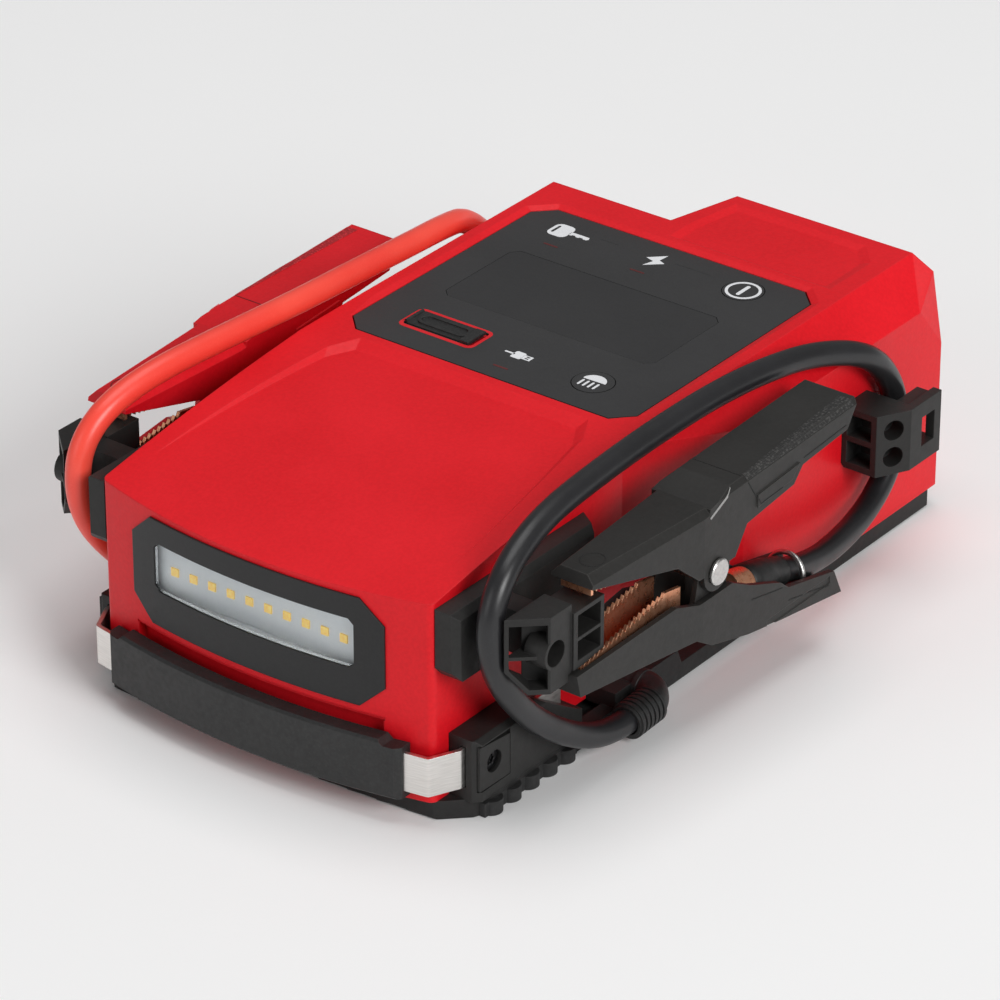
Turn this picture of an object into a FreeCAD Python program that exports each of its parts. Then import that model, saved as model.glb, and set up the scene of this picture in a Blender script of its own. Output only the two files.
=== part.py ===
import FreeCAD, Part
import math
import os

from FreeCAD import Vector

# Jump starter pack: a hollow red case with a sloping hood, a black base, a slide-out front
# handle and a booster clamp with its cable stowed on each side.
# Millimetres.  Front (work light and handle) is -Y, rear is +Y, up is +Z, right is +X.
# The right side is drawn; the left side is its mirror image.

# ---------------------------------------------------------------- driving sizes
CENTRE_Y = 0.95            # moves every piece so the origin lies under the middle
FRONT_HALF = 70.0          # half width of the case at the front
REAR_HALF = 82.0           # half width of the case at the rear
FRONT_CORNER_Y = -133.5
BOW = 9.0                  # how far the front face bows out in the middle
REAR_Y = 147.5
BAY_Y = 116.8              # rear wall behind the battery bay
BAY_X_FRONT = -15.6        # slanted wall between the bay and the rear extension
BAY_X_REAR = -7.8
BASE_TOP = 7.0
TOP_Z = 96.5
HOOD_BACK_Y = -17.0
HOOD_BACK_Z = 95.4
HOOD_FRONT_Z = 80.5
BEVEL_SUM = 164.7          # the 45 degree shoulder plane is x + z = this
WALL = 3.0

BOW_R = (FRONT_HALF ** 2 + BOW ** 2) / (2.0 * BOW)
BOW_Y = FRONT_CORNER_Y - BOW + BOW_R

PANEL_HALF = 61.0
PANEL_Y0 = -16.5
PANEL_Y1 = 100.5
PANEL_CUT = 7.0
PANEL_DEEP = 2.5
PANEL_REF = TOP_Z - 0.6    # heights on the panel are taken from this level

LIGHT_HALF = 53.5
LIGHT_Z0 = 38.3
LIGHT_Z1 = 78.9

CLAMP_X = 96.0             # middle plane of the right clamp
PIN_Y = -28.5
PIN_Z = 60.4
SIDE_SHIFT = Vector(3.0, -4.0, 2.8)   # seats each clamp and its front cleat clear of the case

CABLE_D = 9.0


# ---------------------------------------------------------------- helpers
def box(x0, x1, y0, y1, z0, z1):
    return Part.makeBox(x1 - x0, y1 - y0, z1 - z0, Vector(x0, y0, z0))


def rod(radius, start, end):
    a = Vector(*start)
    b = Vector(*end)
    return Part.makeCylinder(radius, (b - a).Length, a, b - a)


def face_of(points):
    ring = [Vector(*p) for p in points]
    ring.append(ring[0])
    return Part.Face(Part.makePolygon(ring))


def plate_xy(points, z0, z1):
    return face_of([(x, y, z0) for x, y in points]).extrude(Vector(0, 0, z1 - z0))


def plate_xz(points, y0, y1):
    return face_of([(x, y0, z) for x, z in points]).extrude(Vector(0, y1 - y0, 0))


def plate_yz(points, x0, x1):
    return face_of([(x0, y, z) for y, z in points]).extrude(Vector(x1 - x0, 0, 0))


def union(shapes):
    result = shapes[0]
    if len(shapes) > 1:
        result = shapes[0].multiFuse(shapes[1:])
    return result.removeSplitter()


def cut_by(shape, tools):
    return shape.cut(Part.makeCompound(list(tools)))


def mirrored(shape):
    return shape.mirror(Vector(0, 0, 0), Vector(1, 0, 0))


def bow_y(x, extra=0.0):
    return BOW_Y - math.sqrt((BOW_R + extra) ** 2 - x ** 2)


def spread(outline, reach):
    # a counter-clockwise outline with each side moved outwards by its own amount
    moved = []
    for i in range(len(outline)):
        ax, ay = outline[i]
        bx, by = outline[(i + 1) % len(outline)]
        length = math.hypot(bx - ax, by - ay)
        nx = (by - ay) / length
        ny = (ax - bx) / length
        moved.append((nx, ny, nx * ax + ny * ay + reach[i]))
    result = []
    for i in range(len(outline)):
        n1x, n1y, d1 = moved[i - 1]
        n2x, n2y, d2 = moved[i]
        det = n1x * n2y - n1y * n2x
        result.append(((d1 * n2y - d2 * n1y) / det, (n1x * d2 - n2x * d1) / det))
    return result


def drafted(low, reach, z0, z1):
    # a solid with flat sloping sides: the outline at z0, spread by its reach at z1
    high = spread(low, reach)
    bottom = [(x, y, z0) for x, y in low]
    top = [(x, y, z1) for x, y in high]
    faces = [face_of(bottom), face_of(top)]
    for i in range(len(low)):
        j = (i + 1) % len(low)
        faces.append(face_of([bottom[i], bottom[j], top[j], top[i]]))
    solid = Part.Solid(Part.makeShell(faces))
    if solid.Volume < 0:
        solid.reverse()
    return solid


def octagon(x0, x1, z0, z1, cut_x, cut_z):
    return [(x0 + cut_x, z0), (x1 - cut_x, z0), (x1, z0 + cut_z), (x1, z1 - cut_z),
            (x1 - cut_x, z1), (x0 + cut_x, z1), (x0, z1 - cut_z), (x0, z0 + cut_z)]


def bowed_band(r_in, r_out, half, z0, z1):
    # a curved slab that follows the bowed front face
    outer = rod(BOW_R + r_out, (0, BOW_Y, z0), (0, BOW_Y, z1))
    inner = rod(BOW_R + r_in, (0, BOW_Y, z0 - 1), (0, BOW_Y, z1 + 1))
    return outer.cut(inner).common(box(-half, half, BOW_Y - BOW_R - 60, -60, z0, z1))


def rounded_edges(shape, radius, chooser):
    edges = [e for e in shape.Edges if chooser(e)]
    return shape.makeFillet(radius, edges)


def is_vertical(edge):
    if len(edge.Vertexes) < 2:
        return False
    a = edge.Vertexes[0].Point
    b = edge.Vertexes[1].Point
    flat = math.hypot(a.x - b.x, a.y - b.y)
    return flat < 1e-6 and abs(a.z - b.z) > 1.0


def swept(points, radii, radius):
    # a round tube of straight runs joined by tangent arcs
    knots = [Vector(*p) for p in points]
    edges = []
    last = knots[0]
    for i in range(1, len(knots) - 1):
        into = (knots[i] - knots[i - 1]).normalize()
        away = (knots[i + 1] - knots[i]).normalize()
        half_turn = into.getAngle(away) / 2.0
        reach = radii[i - 1] * math.tan(half_turn)
        if reach < 0.02:
            continue
        start = knots[i] - into * reach
        end = knots[i] + away * reach
        inward = (away - into).normalize()
        middle = knots[i] + inward * (radii[i - 1] / math.cos(half_turn) - radii[i - 1])
        edges.append(Part.LineSegment(last, start).toShape())
        edges.append(Part.Arc(start, middle, end).toShape())
        last = end
    edges.append(Part.LineSegment(last, knots[-1]).toShape())
    spine = Part.Wire(edges)
    first = (knots[1] - knots[0]).normalize()
    profile = Part.Wire([Part.makeCircle(radius, knots[0], first)])
    return spine.makePipeShell([profile], True, True)


def bend_radii(points):
    # the largest arc that leaves a little straight on each run
    knots = [Vector(*p) for p in points]
    radii = []
    for i in range(1, len(knots) - 1):
        before = (knots[i] - knots[i - 1]).Length
        after = (knots[i + 1] - knots[i]).Length
        turn = (knots[i] - knots[i - 1]).getAngle(knots[i + 1] - knots[i])
        radii.append(0.45 * min(before, after) / max(math.tan(turn / 2.0), 1e-4))
    return radii


# ---------------------------------------------------------------- the case
def case_plan(inset, z0, z1, notch):
    half = FRONT_HALF - inset
    wide = REAR_HALF - inset
    corner_y = FRONT_CORNER_Y + inset
    rear = REAR_Y - inset
    arc = Part.Arc(Vector(-half, corner_y, z0), Vector(0, FRONT_CORNER_Y - BOW + inset, z0),
                   Vector(half, corner_y, z0))
    ring = [(half, corner_y), (half, -30), (wide, 25), (wide, rear)]
    if notch:
        ring += [(BAY_X_REAR + inset, rear), (BAY_X_FRONT + inset, BAY_Y - inset)]
        ring += [(-wide, BAY_Y - inset)]
    else:
        ring += [(-wide, rear)]
    ring += [(-wide, 25), (-half, -30), (-half, corner_y)]
    edges = [arc.toShape()]
    for a, b in zip(ring[:-1], ring[1:]):
        edges.append(Part.LineSegment(Vector(a[0], a[1], z0), Vector(b[0], b[1], z0)).toShape())
    return Part.Face(Part.Wire(edges)).extrude(Vector(0, 0, z1 - z0))


def side_profile(drop, back_drop, z0):
    # the hood curves up from the front edge to the level top
    front = FRONT_CORNER_Y - BOW - 5
    low = Vector(-100, front, HOOD_FRONT_Z - 0.6 - drop)
    mid = Vector(-100, -80, HOOD_FRONT_Z + 9.3 - drop)
    high = Vector(-100, HOOD_BACK_Y, HOOD_BACK_Z - drop)
    ring = [(HOOD_BACK_Y, HOOD_BACK_Z - drop), (HOOD_BACK_Y + 23.3, TOP_Z - back_drop),
            (REAR_Y + 5, TOP_Z - back_drop), (REAR_Y + 5, z0), (front, z0),
            (front, HOOD_FRONT_Z - 0.6 - drop)]
    edges = [Part.Arc(low, mid, high).toShape()]
    for a, b in zip(ring[:-1], ring[1:]):
        edges.append(Part.LineSegment(Vector(-100, a[0], a[1]), Vector(-100, b[0], b[1])).toShape())
    return Part.Face(Part.Wire(edges)).extrude(Vector(200, 0, 0))


def shoulder_cut(inset):
    level = BEVEL_SUM - inset * math.sqrt(2.0)
    right = plate_xz([(level - 120, 120), (level - 40, 40), (160, 120)], -200, 200)
    return [right, mirrored(right)]


def plane_slab(a, b, c, sx, upwards, size):
    # a thick slab resting on one face of the plane through three points
    a = Vector(*a)
    normal = (Vector(*b) - a).cross(Vector(*c) - a).normalize()
    outward = normal.z if abs(normal.z) > 0.5 else normal.x * sx
    if (outward > 0) != upwards:
        normal = normal * -1
    slab = Part.makeBox(size, size, 60, Vector(-size / 2.0, -size / 2.0, 0))
    slab.Placement = FreeCAD.Placement(a, FreeCAD.Rotation(Vector(0, 0, 1), normal))
    return slab


def below_plane(a, b, c, sx, rear):
    near = box(min(sx * 60, sx * 90), max(sx * 60, sx * 90), rear - 20, rear + 10, 60, 110)
    return plane_slab(a, b, c, sx, False, 160).common(near)


def above_plane(a, b, c, sx):
    return plane_slab(a, b, c, sx, True, 80)


def case_form(inset, top_drop, z0):
    form = case_plan(inset, z0, 110, True).common(side_profile(inset, top_drop, z0))
    # the shoulder ends squarer at the right rear corner, on a facet that rises to the rear wall
    top = (69.4 - inset, REAR_Y, 95.9 - inset)
    peak = (77.4 - inset, REAR_Y, 91.9 - inset)
    foot = (82.0 - inset, REAR_Y - 14.7, 82.9 - inset)
    spared = [below_plane(top, peak, foot, 1, REAR_Y)]
    form = cut_by(form, [cut_by(tool, spared) for tool in shoulder_cut(inset)])
    return form.cut(above_plane(peak, (80.6 - inset, REAR_Y, 73.0), foot, 1))


outer = case_form(0.0, 0.0, BASE_TOP)


def corner_edge(edge):
    if not is_vertical(edge):
        return False
    p = edge.Vertexes[0].Point
    return abs(abs(p.x) - FRONT_HALF) < 0.1 and p.y < -120


outer = rounded_edges(outer, 3.0, corner_edge)
cavity = case_form(WALL, 5.5, 0.0)
cavity = cavity.cut(bowed_band(-6.8, 5, 67, 0, 39))
housing = outer.cut(cavity)

# panel seat: an eight-sided recess in the level top
panel_ring = octagon(-PANEL_HALF - 0.4, PANEL_HALF + 0.4, PANEL_Y0 - 0.4, PANEL_Y1 + 0.4,
                     PANEL_CUT, PANEL_CUT)
panel_seat = plate_xy(panel_ring, PANEL_REF - PANEL_DEEP, TOP_Z + 5)
panel_rim = drafted(panel_ring, [4.2] * 8, TOP_Z - 0.95, TOP_Z + 0.6)

# shallow recess with sloping sides on the rear extension
extension_field = drafted([(-5, 108), (57.5, 108), (57.5, 130.5), (50.5, 138.5), (-1.5, 138.5), (-5, 119)],
                          [3.0, 5.8, 5.8, 5.8, 5.8, 5.8], TOP_Z - 0.9, TOP_Z + 0.6)

# shallow recess in the hood with sloping sides, fading out towards the front
hood_field = drafted([(-61, -120), (61, -120), (52, -38), (47, -27), (-47, -27), (-52, -38)],
                     [0.0, 6.0, 9.0, 13.2, 9.0, 6.0], 92.5, 96.5)
hood_field.rotate(Vector(0, -27, 92.5), Vector(1, 0, 0), 6.0)
fade = side_profile(0.0, 0.0, 0)
fade.translate(Vector(0, 0, -1.8))
fade.rotate(Vector(0, -25, 93), Vector(1, 0, 0), -1.15)
hood_field = hood_field.cut(fade)

# pocket behind the handle bar and the light opening
handle_room = bowed_band(-3.4, 12, 52.5, 9.5, 34.5)
light_ring = octagon(-LIGHT_HALF + 1.5, LIGHT_HALF - 1.5, LIGHT_Z0 + 1.5, LIGHT_Z1 - 1.5, 9, 6.5)
light_hole = plate_xz(light_ring, -160, -120)
groove = bowed_band(-0.6, 8, 53.0, 34.4, 35.6)

# battery bay wall slot for the dock, and the two lead holes low on the sides
dock_slot = box(-52, -32, BAY_Y - 6, BAY_Y + 6, 34, 58)
lead_holes = [rod(5.4, (60, -35, 9.6), (90, -35, 9.6)), rod(5.4, (-60, -35, 9.6), (-90, -35, 9.6))]
lead_room = [box(63, 90, -49.6, -10.4, 6, 12.9), box(-90, -63, -49.6, -10.4, 6, 12.9)]

display_hole = box(-44, 40, 25, 63, 80, 100)
usb_hole = box(-37, -21, -1, 7, 80, 100)
button_holes = [rod(4.0, (36.3, 88.2, 80), (36.3, 88.2, 100)), rod(4.0, (35.0, 1.0, 80), (35.0, 1.0, 100))]

housing = cut_by(housing, [panel_seat, panel_rim, extension_field, hood_field, handle_room, light_hole,
                           groove, dock_slot, display_hole, usb_hole] + button_holes + lead_room)

# posts for the case screws and for the panel board
POSTS = [(63.5, -112), (-63.5, -112), (75.5, 60), (-75.5, 60), (75.5, 130), (-75.5, 103)]
posts = []
for px, py in POSTS:
    posts.append(rod(4.6, (px, py, BASE_TOP), (px, py, 40)))
board_posts = []
for px, py in ((-54, -10), (54, -10), (-54, 94), (54, 94)):
    board_posts.append(rod(3.0, (px, py, 89.8), (px, py, 92.6)))
housing = union([housing] + board_posts + [p.common(outer) for p in posts])
housing = cut_by(housing, [rod(1.5, (px, py, 0), (px, py, 30)) for px, py in POSTS])

parts = {}
parts["upper_housing"] = housing


# ---------------------------------------------------------------- base tray
def base_outline(inset, z0, z1):
    half = FRONT_HALF - 1.0 - inset
    wide = REAR_HALF - inset
    front = FRONT_CORNER_Y + 1.0 + inset
    arc = Part.Arc(Vector(-half, front, z0), Vector(0, front - 4.2, z0), Vector(half, front, z0))
    ring = [(half, front), (78.5 - inset, -123.5), (wide, -116),
            (wide, REAR_Y - 5), (wide - 5, REAR_Y - inset), (-wide + 5, REAR_Y - inset),
            (-wide, REAR_Y - 5), (-wide, -116), (-78.5 + inset, -123.5),
            (-half, front)]
    edges = [arc.toShape()]
    for a, b in zip(ring[:-1], ring[1:]):
        edges.append(Part.LineSegment(Vector(a[0], a[1], z0), Vector(b[0], b[1], z0)).toShape())
    return Part.Face(Part.Wire(edges)).extrude(Vector(0, 0, z1 - z0))


base = base_outline(0.0, 0.0, BASE_TOP)
base = base.cut(base_outline(6.0, 3.0, BASE_TOP + 1))
skirts = []
for side in (1, -1):
    skirt = plate_yz([(-49, BASE_TOP - 1), (-49, 12.7), (-13, 12.7), (-10.6, BASE_TOP),
                      (-10.6, BASE_TOP - 1)], 63.3, REAR_HALF)
    skirts.append(skirt if side > 0 else mirrored(skirt))
bosses = []
for px, py in POSTS:
    bosses.append(rod(5.5, (px, py, 1), (px, py, BASE_TOP)))
STANDOFFS = [(-50, 14), (50, 14), (-50, 104), (50, 104)]
for px, py in STANDOFFS:
    bosses.append(rod(3.5, (px, py, 1), (px, py, 14)))
base = union([base] + skirts + bosses)
screw_holes = []
for px, py in POSTS:
    screw_holes.append(rod(1.9, (px, py, -1), (px, py, 10)))
    screw_holes.append(rod(3.9, (px, py, -1), (px, py, 3.2)))
tread_cuts = [box(74, 90, -121.5, -70.5, -1, 5.2), box(-90, -74, -121.5, -70.5, -1, 5.2)]
base = cut_by(base, screw_holes + tread_cuts + lead_holes)
base = rounded_edges(base, 1.0, lambda e: abs(e.BoundBox.ZMax) < 1e-6 and e.Length > 90)
parts["base_tray"] = base

screws = []
for px, py in POSTS:
    head = rod(3.6, (px, py, 0.7), (px, py, 3.2))
    head = head.cut(rod(1.7, (px, py, 0.5), (px, py, 2.2)))
    screws.append(union([head, rod(1.5, (px, py, 3.0), (px, py, 24))]))
parts["housing_screws"] = Part.makeCompound(screws)


# ---------------------------------------------------------------- bumpers, treads and handle
STRAP_T = 1.5
STRAP_PATH = [(58.0, -139.9), (70.9, -137.6), (75.9, -127.2), (75.9, -73.0)]
STRAP_Z0 = 12.4
STRAP_Z1 = 26.9
SCREW_Y = -116.4
SCREW_Z = 19.6
HANDLE_TRAVEL = 14.0


def ribbon(path, thickness, z0, z1):
    # a flat bar bent along a plan path
    left = []
    right = []
    for i, (x, y) in enumerate(path):
        dirs = []
        if i > 0:
            dirs.append(Vector(x - path[i - 1][0], y - path[i - 1][1], 0).normalize())
        if i < len(path) - 1:
            dirs.append(Vector(path[i + 1][0] - x, path[i + 1][1] - y, 0).normalize())
        mean = dirs[0] if len(dirs) == 1 else (dirs[0] + dirs[1]).normalize()
        grow = 1.0 / mean.dot(dirs[0])
        side = Vector(-mean.y, mean.x, 0) * (thickness / 2.0 * grow)
        left.append((x + side.x, y + side.y))
        right.append((x - side.x, y - side.y))
    return plate_xy(left + right[::-1], z0, z1)


strap = ribbon(STRAP_PATH, STRAP_T, STRAP_Z0, STRAP_Z1)
strap = rounded_edges(strap, 2.0, lambda e: is_vertical(e) and 60 < e.Vertexes[0].Point.x < 80
                      and -140 < e.Vertexes[0].Point.y < -120 and e.Length > 10)
slot_y0 = SCREW_Y
slot_y1 = SCREW_Y + HANDLE_TRAVEL
slot = union([rod(2.7, (70, slot_y0, SCREW_Z), (80, slot_y0, SCREW_Z)),
              rod(2.7, (70, slot_y1, SCREW_Z), (80, slot_y1, SCREW_Z)),
              box(70, 80, slot_y0, slot_y1, SCREW_Z - 2.7, SCREW_Z + 2.7)])
strap = strap.cut(slot)
parts["right_handle_strap"] = strap
parts["left_handle_strap"] = mirrored(strap)

grip = bowed_band(0.9, 7.1, 62.5, 9.6, 31.2)
grip = grip.makeChamfer(0.9, [e for e in grip.Edges if e.BoundBox.ZLength < 1e-6
                              and e.Length > 100 and e.BoundBox.YMin < BOW_Y - BOW_R - 6])
for side in (1, -1):
    # the bar steps down to a collar at each end, and its outer corner is taken off
    step = plate_xz([(side * 54.6, 31.3), (side * 56.6, 29.3), (side * 70, 29.3), (side * 70, 33),
                     (side * 54.6, 33)], -160, -125)
    corner = plate_xy([(side * 60.6, -155), (side * 60.6, -143.2), (side * 62.7, -140.6), (side * 70, -155)],
                      0, 60)
    grip = cut_by(grip, [step, corner])
grip = cut_by(grip, [ribbon(STRAP_PATH[:2], STRAP_T, STRAP_Z0, STRAP_Z1),
                     mirrored(ribbon(STRAP_PATH[:2], STRAP_T, STRAP_Z0, STRAP_Z1))])
parts["handle_grip"] = grip

bumper = plate_xy([(70.1, -125.5), (79.5, -125.5), (82, -123.0), (82, -68), (70.1, -68)],
                  BASE_TOP, 30.5)
bumper = bumper.cut(plate_xz([(79.6, 31), (82.5, 28.1), (83, 31)], -130, -60))
bumper = bumper.cut(plate_yz([(-92, 31), (-60, 31), (-60, 14), (-70, 17)], 60, 90))
bumper = bumper.cut(box(74.75, 77.05, -130, -71.5, 11.9, 27.4))
bumper = bumper.cut(box(80.5, 90, -124.3, -107.7, 10.6, 28.2))
bumper = cut_by(bumper, [rod(2.3, (69, SCREW_Y, SCREW_Z), (90, SCREW_Y, SCREW_Z)),
                         rod(4.2, (78.2, SCREW_Y, SCREW_Z), (90, SCREW_Y, SCREW_Z)),
                         rod(1.6, (69, -74, 11.0), (90, -74, 11.0))])
bumper = bumper.cut(lead_holes[0])
parts["right_bumper"] = bumper
parts["left_bumper"] = mirrored(bumper)

cover = plate_yz([(-124.1, 11.2), (-124.1, 28.0), (-107.9, 26.2), (-107.9, 10.8)], 80.55, 81.9)
cover = cover.cut(rod(4.0, (70, SCREW_Y, SCREW_Z), (90, SCREW_Y, SCREW_Z)))
parts["right_slot_cover"] = cover
parts["left_slot_cover"] = mirrored(cover)

pivot = union([rod(2.25, (70.2, SCREW_Y, SCREW_Z), (78.4, SCREW_Y, SCREW_Z)),
               rod(3.9, (78.25, SCREW_Y, SCREW_Z), (80.2, SCREW_Y, SCREW_Z))])
star = [rod(0.75, (79.0, SCREW_Y + 1.3 * math.cos(a * math.pi / 3), SCREW_Z + 1.3 * math.sin(a * math.pi / 3)),
            (81, SCREW_Y + 1.3 * math.cos(a * math.pi / 3), SCREW_Z + 1.3 * math.sin(a * math.pi / 3)))
        for a in range(6)]
pivot = cut_by(pivot, star + [rod(1.3, (79.0, SCREW_Y, SCREW_Z), (81, SCREW_Y, SCREW_Z))])
parts["right_slot_screw"] = pivot
parts["left_slot_screw"] = mirrored(pivot)

tread = box(74.05, 81.9, -121.4, -70.6, 0.0, 5.15)
ribs = []
for i in range(5):
    ribs.append(rod(4.1, (80.2, -116.0 + i * 10.0, 0.0), (80.2, -116.0 + i * 10.0, 5.15)))
tread = union([tread] + ribs)
parts["right_tread"] = tread
parts["left_tread"] = mirrored(tread)


# ---------------------------------------------------------------- side rails and cable cleats
rail = plate_xy([(70.1, -132.6), (77.0, -132.6), (79.0, -130.2), (79.0, -58), (70.1, -52)], 55, 80.5)
rail = rail.cut(plate_xz([(76.5, 80.6), (79.1, 78.0), (80, 81)], -140, -40))
rail = rail.cut(plate_yz([(-131, 54), (-128.5, 54), (-133, 59), (-133, 54)], 60, 90))
parts["right_side_rail"] = rail
parts["left_side_rail"] = mirrored(rail)

FC_X = 101.6
cleat_plan = [(90.5, -122.5), (FC_X, -112.3), (FC_X, -101), (90.5, -101)]
cleat_along = Vector(11.1, 10.2, 0).normalize()
cleat_out = Vector(10.2, -11.1, 0).normalize()


def facet_prism(ring, depth0, depth1):
    # a prism square to the slanted face of the cleat, drawn as (reach along the face, height)
    points = []
    for reach, z in ring:
        p = Vector(90.5, -122.5, 0) + cleat_along * reach + cleat_out * depth1
        points.append((p.x, p.y, z))
    return face_of(points).extrude(cleat_out * (depth0 - depth1))


cleat = plate_xy(cleat_plan, 50.6, 79)
cleat = cleat.cut(facet_prism([(-3, 62.9), (-3, 45), (12.5, 45)], -30, 6))
neck = box(76.05, 91, -110, -101, 59, 75)
jaw_block = box(89.5, 102.5, -101, -84.5, 54.2, 75.6)
cleat = union([cleat, neck, jaw_block])
cleat = cut_by(cleat, [facet_prism([(1.5, 64.9), (14.2, 64.9), (14.2, 76.4), (1.5, 76.4)], -6.8, 3),
                       facet_prism([(1.5, 63.7), (1.5, 60.0), (8.2, 52.4), (14.2, 52.4), (14.2, 63.7)],
                                   -6.8, 3)])
cleat = union([cleat, rod(5.9, (93.0, -109.4, 64.5), (FC_X, -109.4, 64.5))])
cleat = cut_by(cleat, [rod(4.7, (95.5, -109.4, 64.5), (FC_X + 2, -109.4, 64.5)),
                       box(93.5, 110, -98.8, -86.3, 65.6, 74.0),
                       box(93.5, 110, -98.8, -86.3, 57.0, 64.4),
                       plate_yz([(-102.6, 50), (-102.6, 53.3), (-84.0, 55.8), (-84.0, 50)], 88.5, 104)])
cleat.translate(SIDE_SHIFT)
parts["right_front_cleat"] = cleat
parts["left_front_cleat"] = mirrored(cleat)

RC_Y = 84.5
rear = plate_xy([(82.05, RC_Y), (96.5, RC_Y), (103, RC_Y + 12), (103, RC_Y + 31), (99.5, RC_Y + 31),
                 (99.5, RC_Y + 15), (82.05, RC_Y + 15)], 42, 66)
rear = rear.cut(plate_xz([(80, 46), (84, 41), (80, 41)], 80, 120))
rear = union([rear, plate_xy([(92.8, RC_Y + 13), (103, RC_Y + 13), (103, RC_Y + 31), (92.8, RC_Y + 31)],
                             44, 47).common(box(80, 110, 80, 130, 40, 70)),
              plate_xy([(92.8, RC_Y + 13), (103, RC_Y + 13), (103, RC_Y + 31), (92.8, RC_Y + 31)], 61, 64)])
rear = cut_by(rear, [box(84.2, 94.2, RC_Y - 1, RC_Y + 9, 55.2, 63.6),
                     box(84.2, 94.2, RC_Y - 1, RC_Y + 9, 44.6, 53.0),
                     box(98, 104, RC_Y + 19, RC_Y + 27, 48.5, 60)])
facet_dir = Vector(12, -6.5, 0).normalize()
for hz in (48.9, 59.4):
    mouth = Vector(99.75, RC_Y + 6, hz) + facet_dir * 2
    rear = rear.cut(Part.makeCylinder(3.9, 9.5, mouth, facet_dir * -1))
parts["right_rear_cleat"] = rear
parts["left_rear_cleat"] = mirrored(rear)


# ---------------------------------------------------------------- work light
bezel_ring = octagon(-LIGHT_HALF, LIGHT_HALF, LIGHT_Z0, LIGHT_Z1, 9.2, 8.6)
bezel = plate_xz(bezel_ring, -160, -120).common(bowed_band(0.05, 0.8, 70, 20, 90))
sleeve_ring = octagon(-LIGHT_HALF + 1.7, LIGHT_HALF - 1.7, LIGHT_Z0 + 1.7, LIGHT_Z1 - 1.7, 9, 8.2)
sleeve = plate_xz(sleeve_ring, -160, -127.5).common(bowed_band(-9.0, 0.4, 70, 20, 90))
bezel = union([bezel, sleeve])
window_ring = octagon(-42.4, 42.4, 51.8, 70.2, 2.0, 2.0)
inside_ring = octagon(-46, 46, 48.6, 73.6, 4.0, 4.0)
bezel = cut_by(bezel, [plate_xz(window_ring, -160, -110),
                       plate_xz(inside_ring, -160, -110).common(bowed_band(-12.0, -1.5, 70, 20, 90))])
parts["light_bezel"] = bezel
lens = plate_xz(octagon(-45.8, 45.8, 48.8, 73.4, 4.0, 4.0), -160, -110)
lens = lens.common(bowed_band(-2.9, -1.6, 70, 20, 90))
lens = union([lens, plate_xz(octagon(-42.2, 42.2, 52.0, 70.0, 1.9, 1.9), -160, -110)
              .common(bowed_band(-1.8, 0.3, 70, 20, 90))])
parts["light_lens"] = lens
# flat light board at the back of a shallow tray close behind the lens
BOARD_Y = -135.9
tray = plate_xz(octagon(-45.8, 45.8, 48.8, 73.4, 4.0, 4.0), -160, -132.6)
tray = tray.common(bowed_band(-12.0, -2.95, 70, 20, 90))
tray = tray.cut(plate_xz(octagon(-43.8, 43.8, 50.0, 71.6, 2.5, 2.5), -160, BOARD_Y + 1.55))
tray = tray.cut(box(-3.3, 3.3, -140, -126, 56.8, 61.2))
parts["light_tray"] = tray
led_board = union([plate_xz(octagon(-43.7, 43.7, 50.1, 71.5, 2.4, 2.4), BOARD_Y, BOARD_Y + 1.5),
                   box(-43, 43, -127.4, -126.0, 50, 68),
                   box(-3, 3, BOARD_Y + 1.0, -127, 57, 61)])
parts["led_board"] = led_board
leds = []
for i in range(10):
    x = -35.75 + i * 71.5 / 9.0
    leds.append(box(x - 1.5, x + 1.5, BOARD_Y - 0.55, BOARD_Y, 58.0, 61.0))
parts["led_chips"] = Part.makeCompound(leds)


# ---------------------------------------------------------------- control panel
panel = plate_xy(octagon(-PANEL_HALF, PANEL_HALF, PANEL_Y0, PANEL_Y1, PANEL_CUT, PANEL_CUT),
                 PANEL_REF - PANEL_DEEP, PANEL_REF - 0.4)
DISPLAY = octagon(-47.5, 43.5, 22.5, 66.0, 3.0, 3.0)
POWER = (36.3, 88.2)
LAMP = (35.0, 1.0)
USB_C = (-29.0, 2.4)
panel = cut_by(panel, [plate_xy(DISPLAY, PANEL_REF - 1.2, PANEL_REF + 1), display_hole,
                       rod(7.8, (POWER[0], POWER[1], PANEL_REF - 1.6), (POWER[0], POWER[1], PANEL_REF)),
                       rod(7.8, (LAMP[0], LAMP[1], PANEL_REF - 1.6), (LAMP[0], LAMP[1], PANEL_REF)),
                       rod(3.2, (POWER[0], POWER[1], 90), (POWER[0], POWER[1], 99)),
                       rod(3.2, (LAMP[0], LAMP[1], 90), (LAMP[0], LAMP[1], 99)),
                       box(-36.6, -21.4, -0.6, 6.6, 90, 100),
                       box(-44.2, -14.4, -3.2, 8.0, PANEL_REF - 1.4, 100)])
parts["control_panel"] = panel
window = plate_xy(octagon(-47.35, 43.35, 22.65, 65.85, 3.0, 3.0), PANEL_REF - 1.2, PANEL_REF - 0.45)
window = union([window, box(-43.7, 39.7, 25.3, 62.7, 94.0, PANEL_REF - 1.0)])
parts["display_window"] = window
PRESS = 0.5
for name, (bx, by) in (("power_button", POWER), ("light_button", LAMP)):
    cap = rod(7.45, (bx, by, PANEL_REF - 1.05), (bx, by, PANEL_REF - 0.3))
    stem = rod(2.8, (bx, by, 92.0), (bx, by, PANEL_REF - 0.9))
    parts[name] = union([cap, stem])

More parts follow.
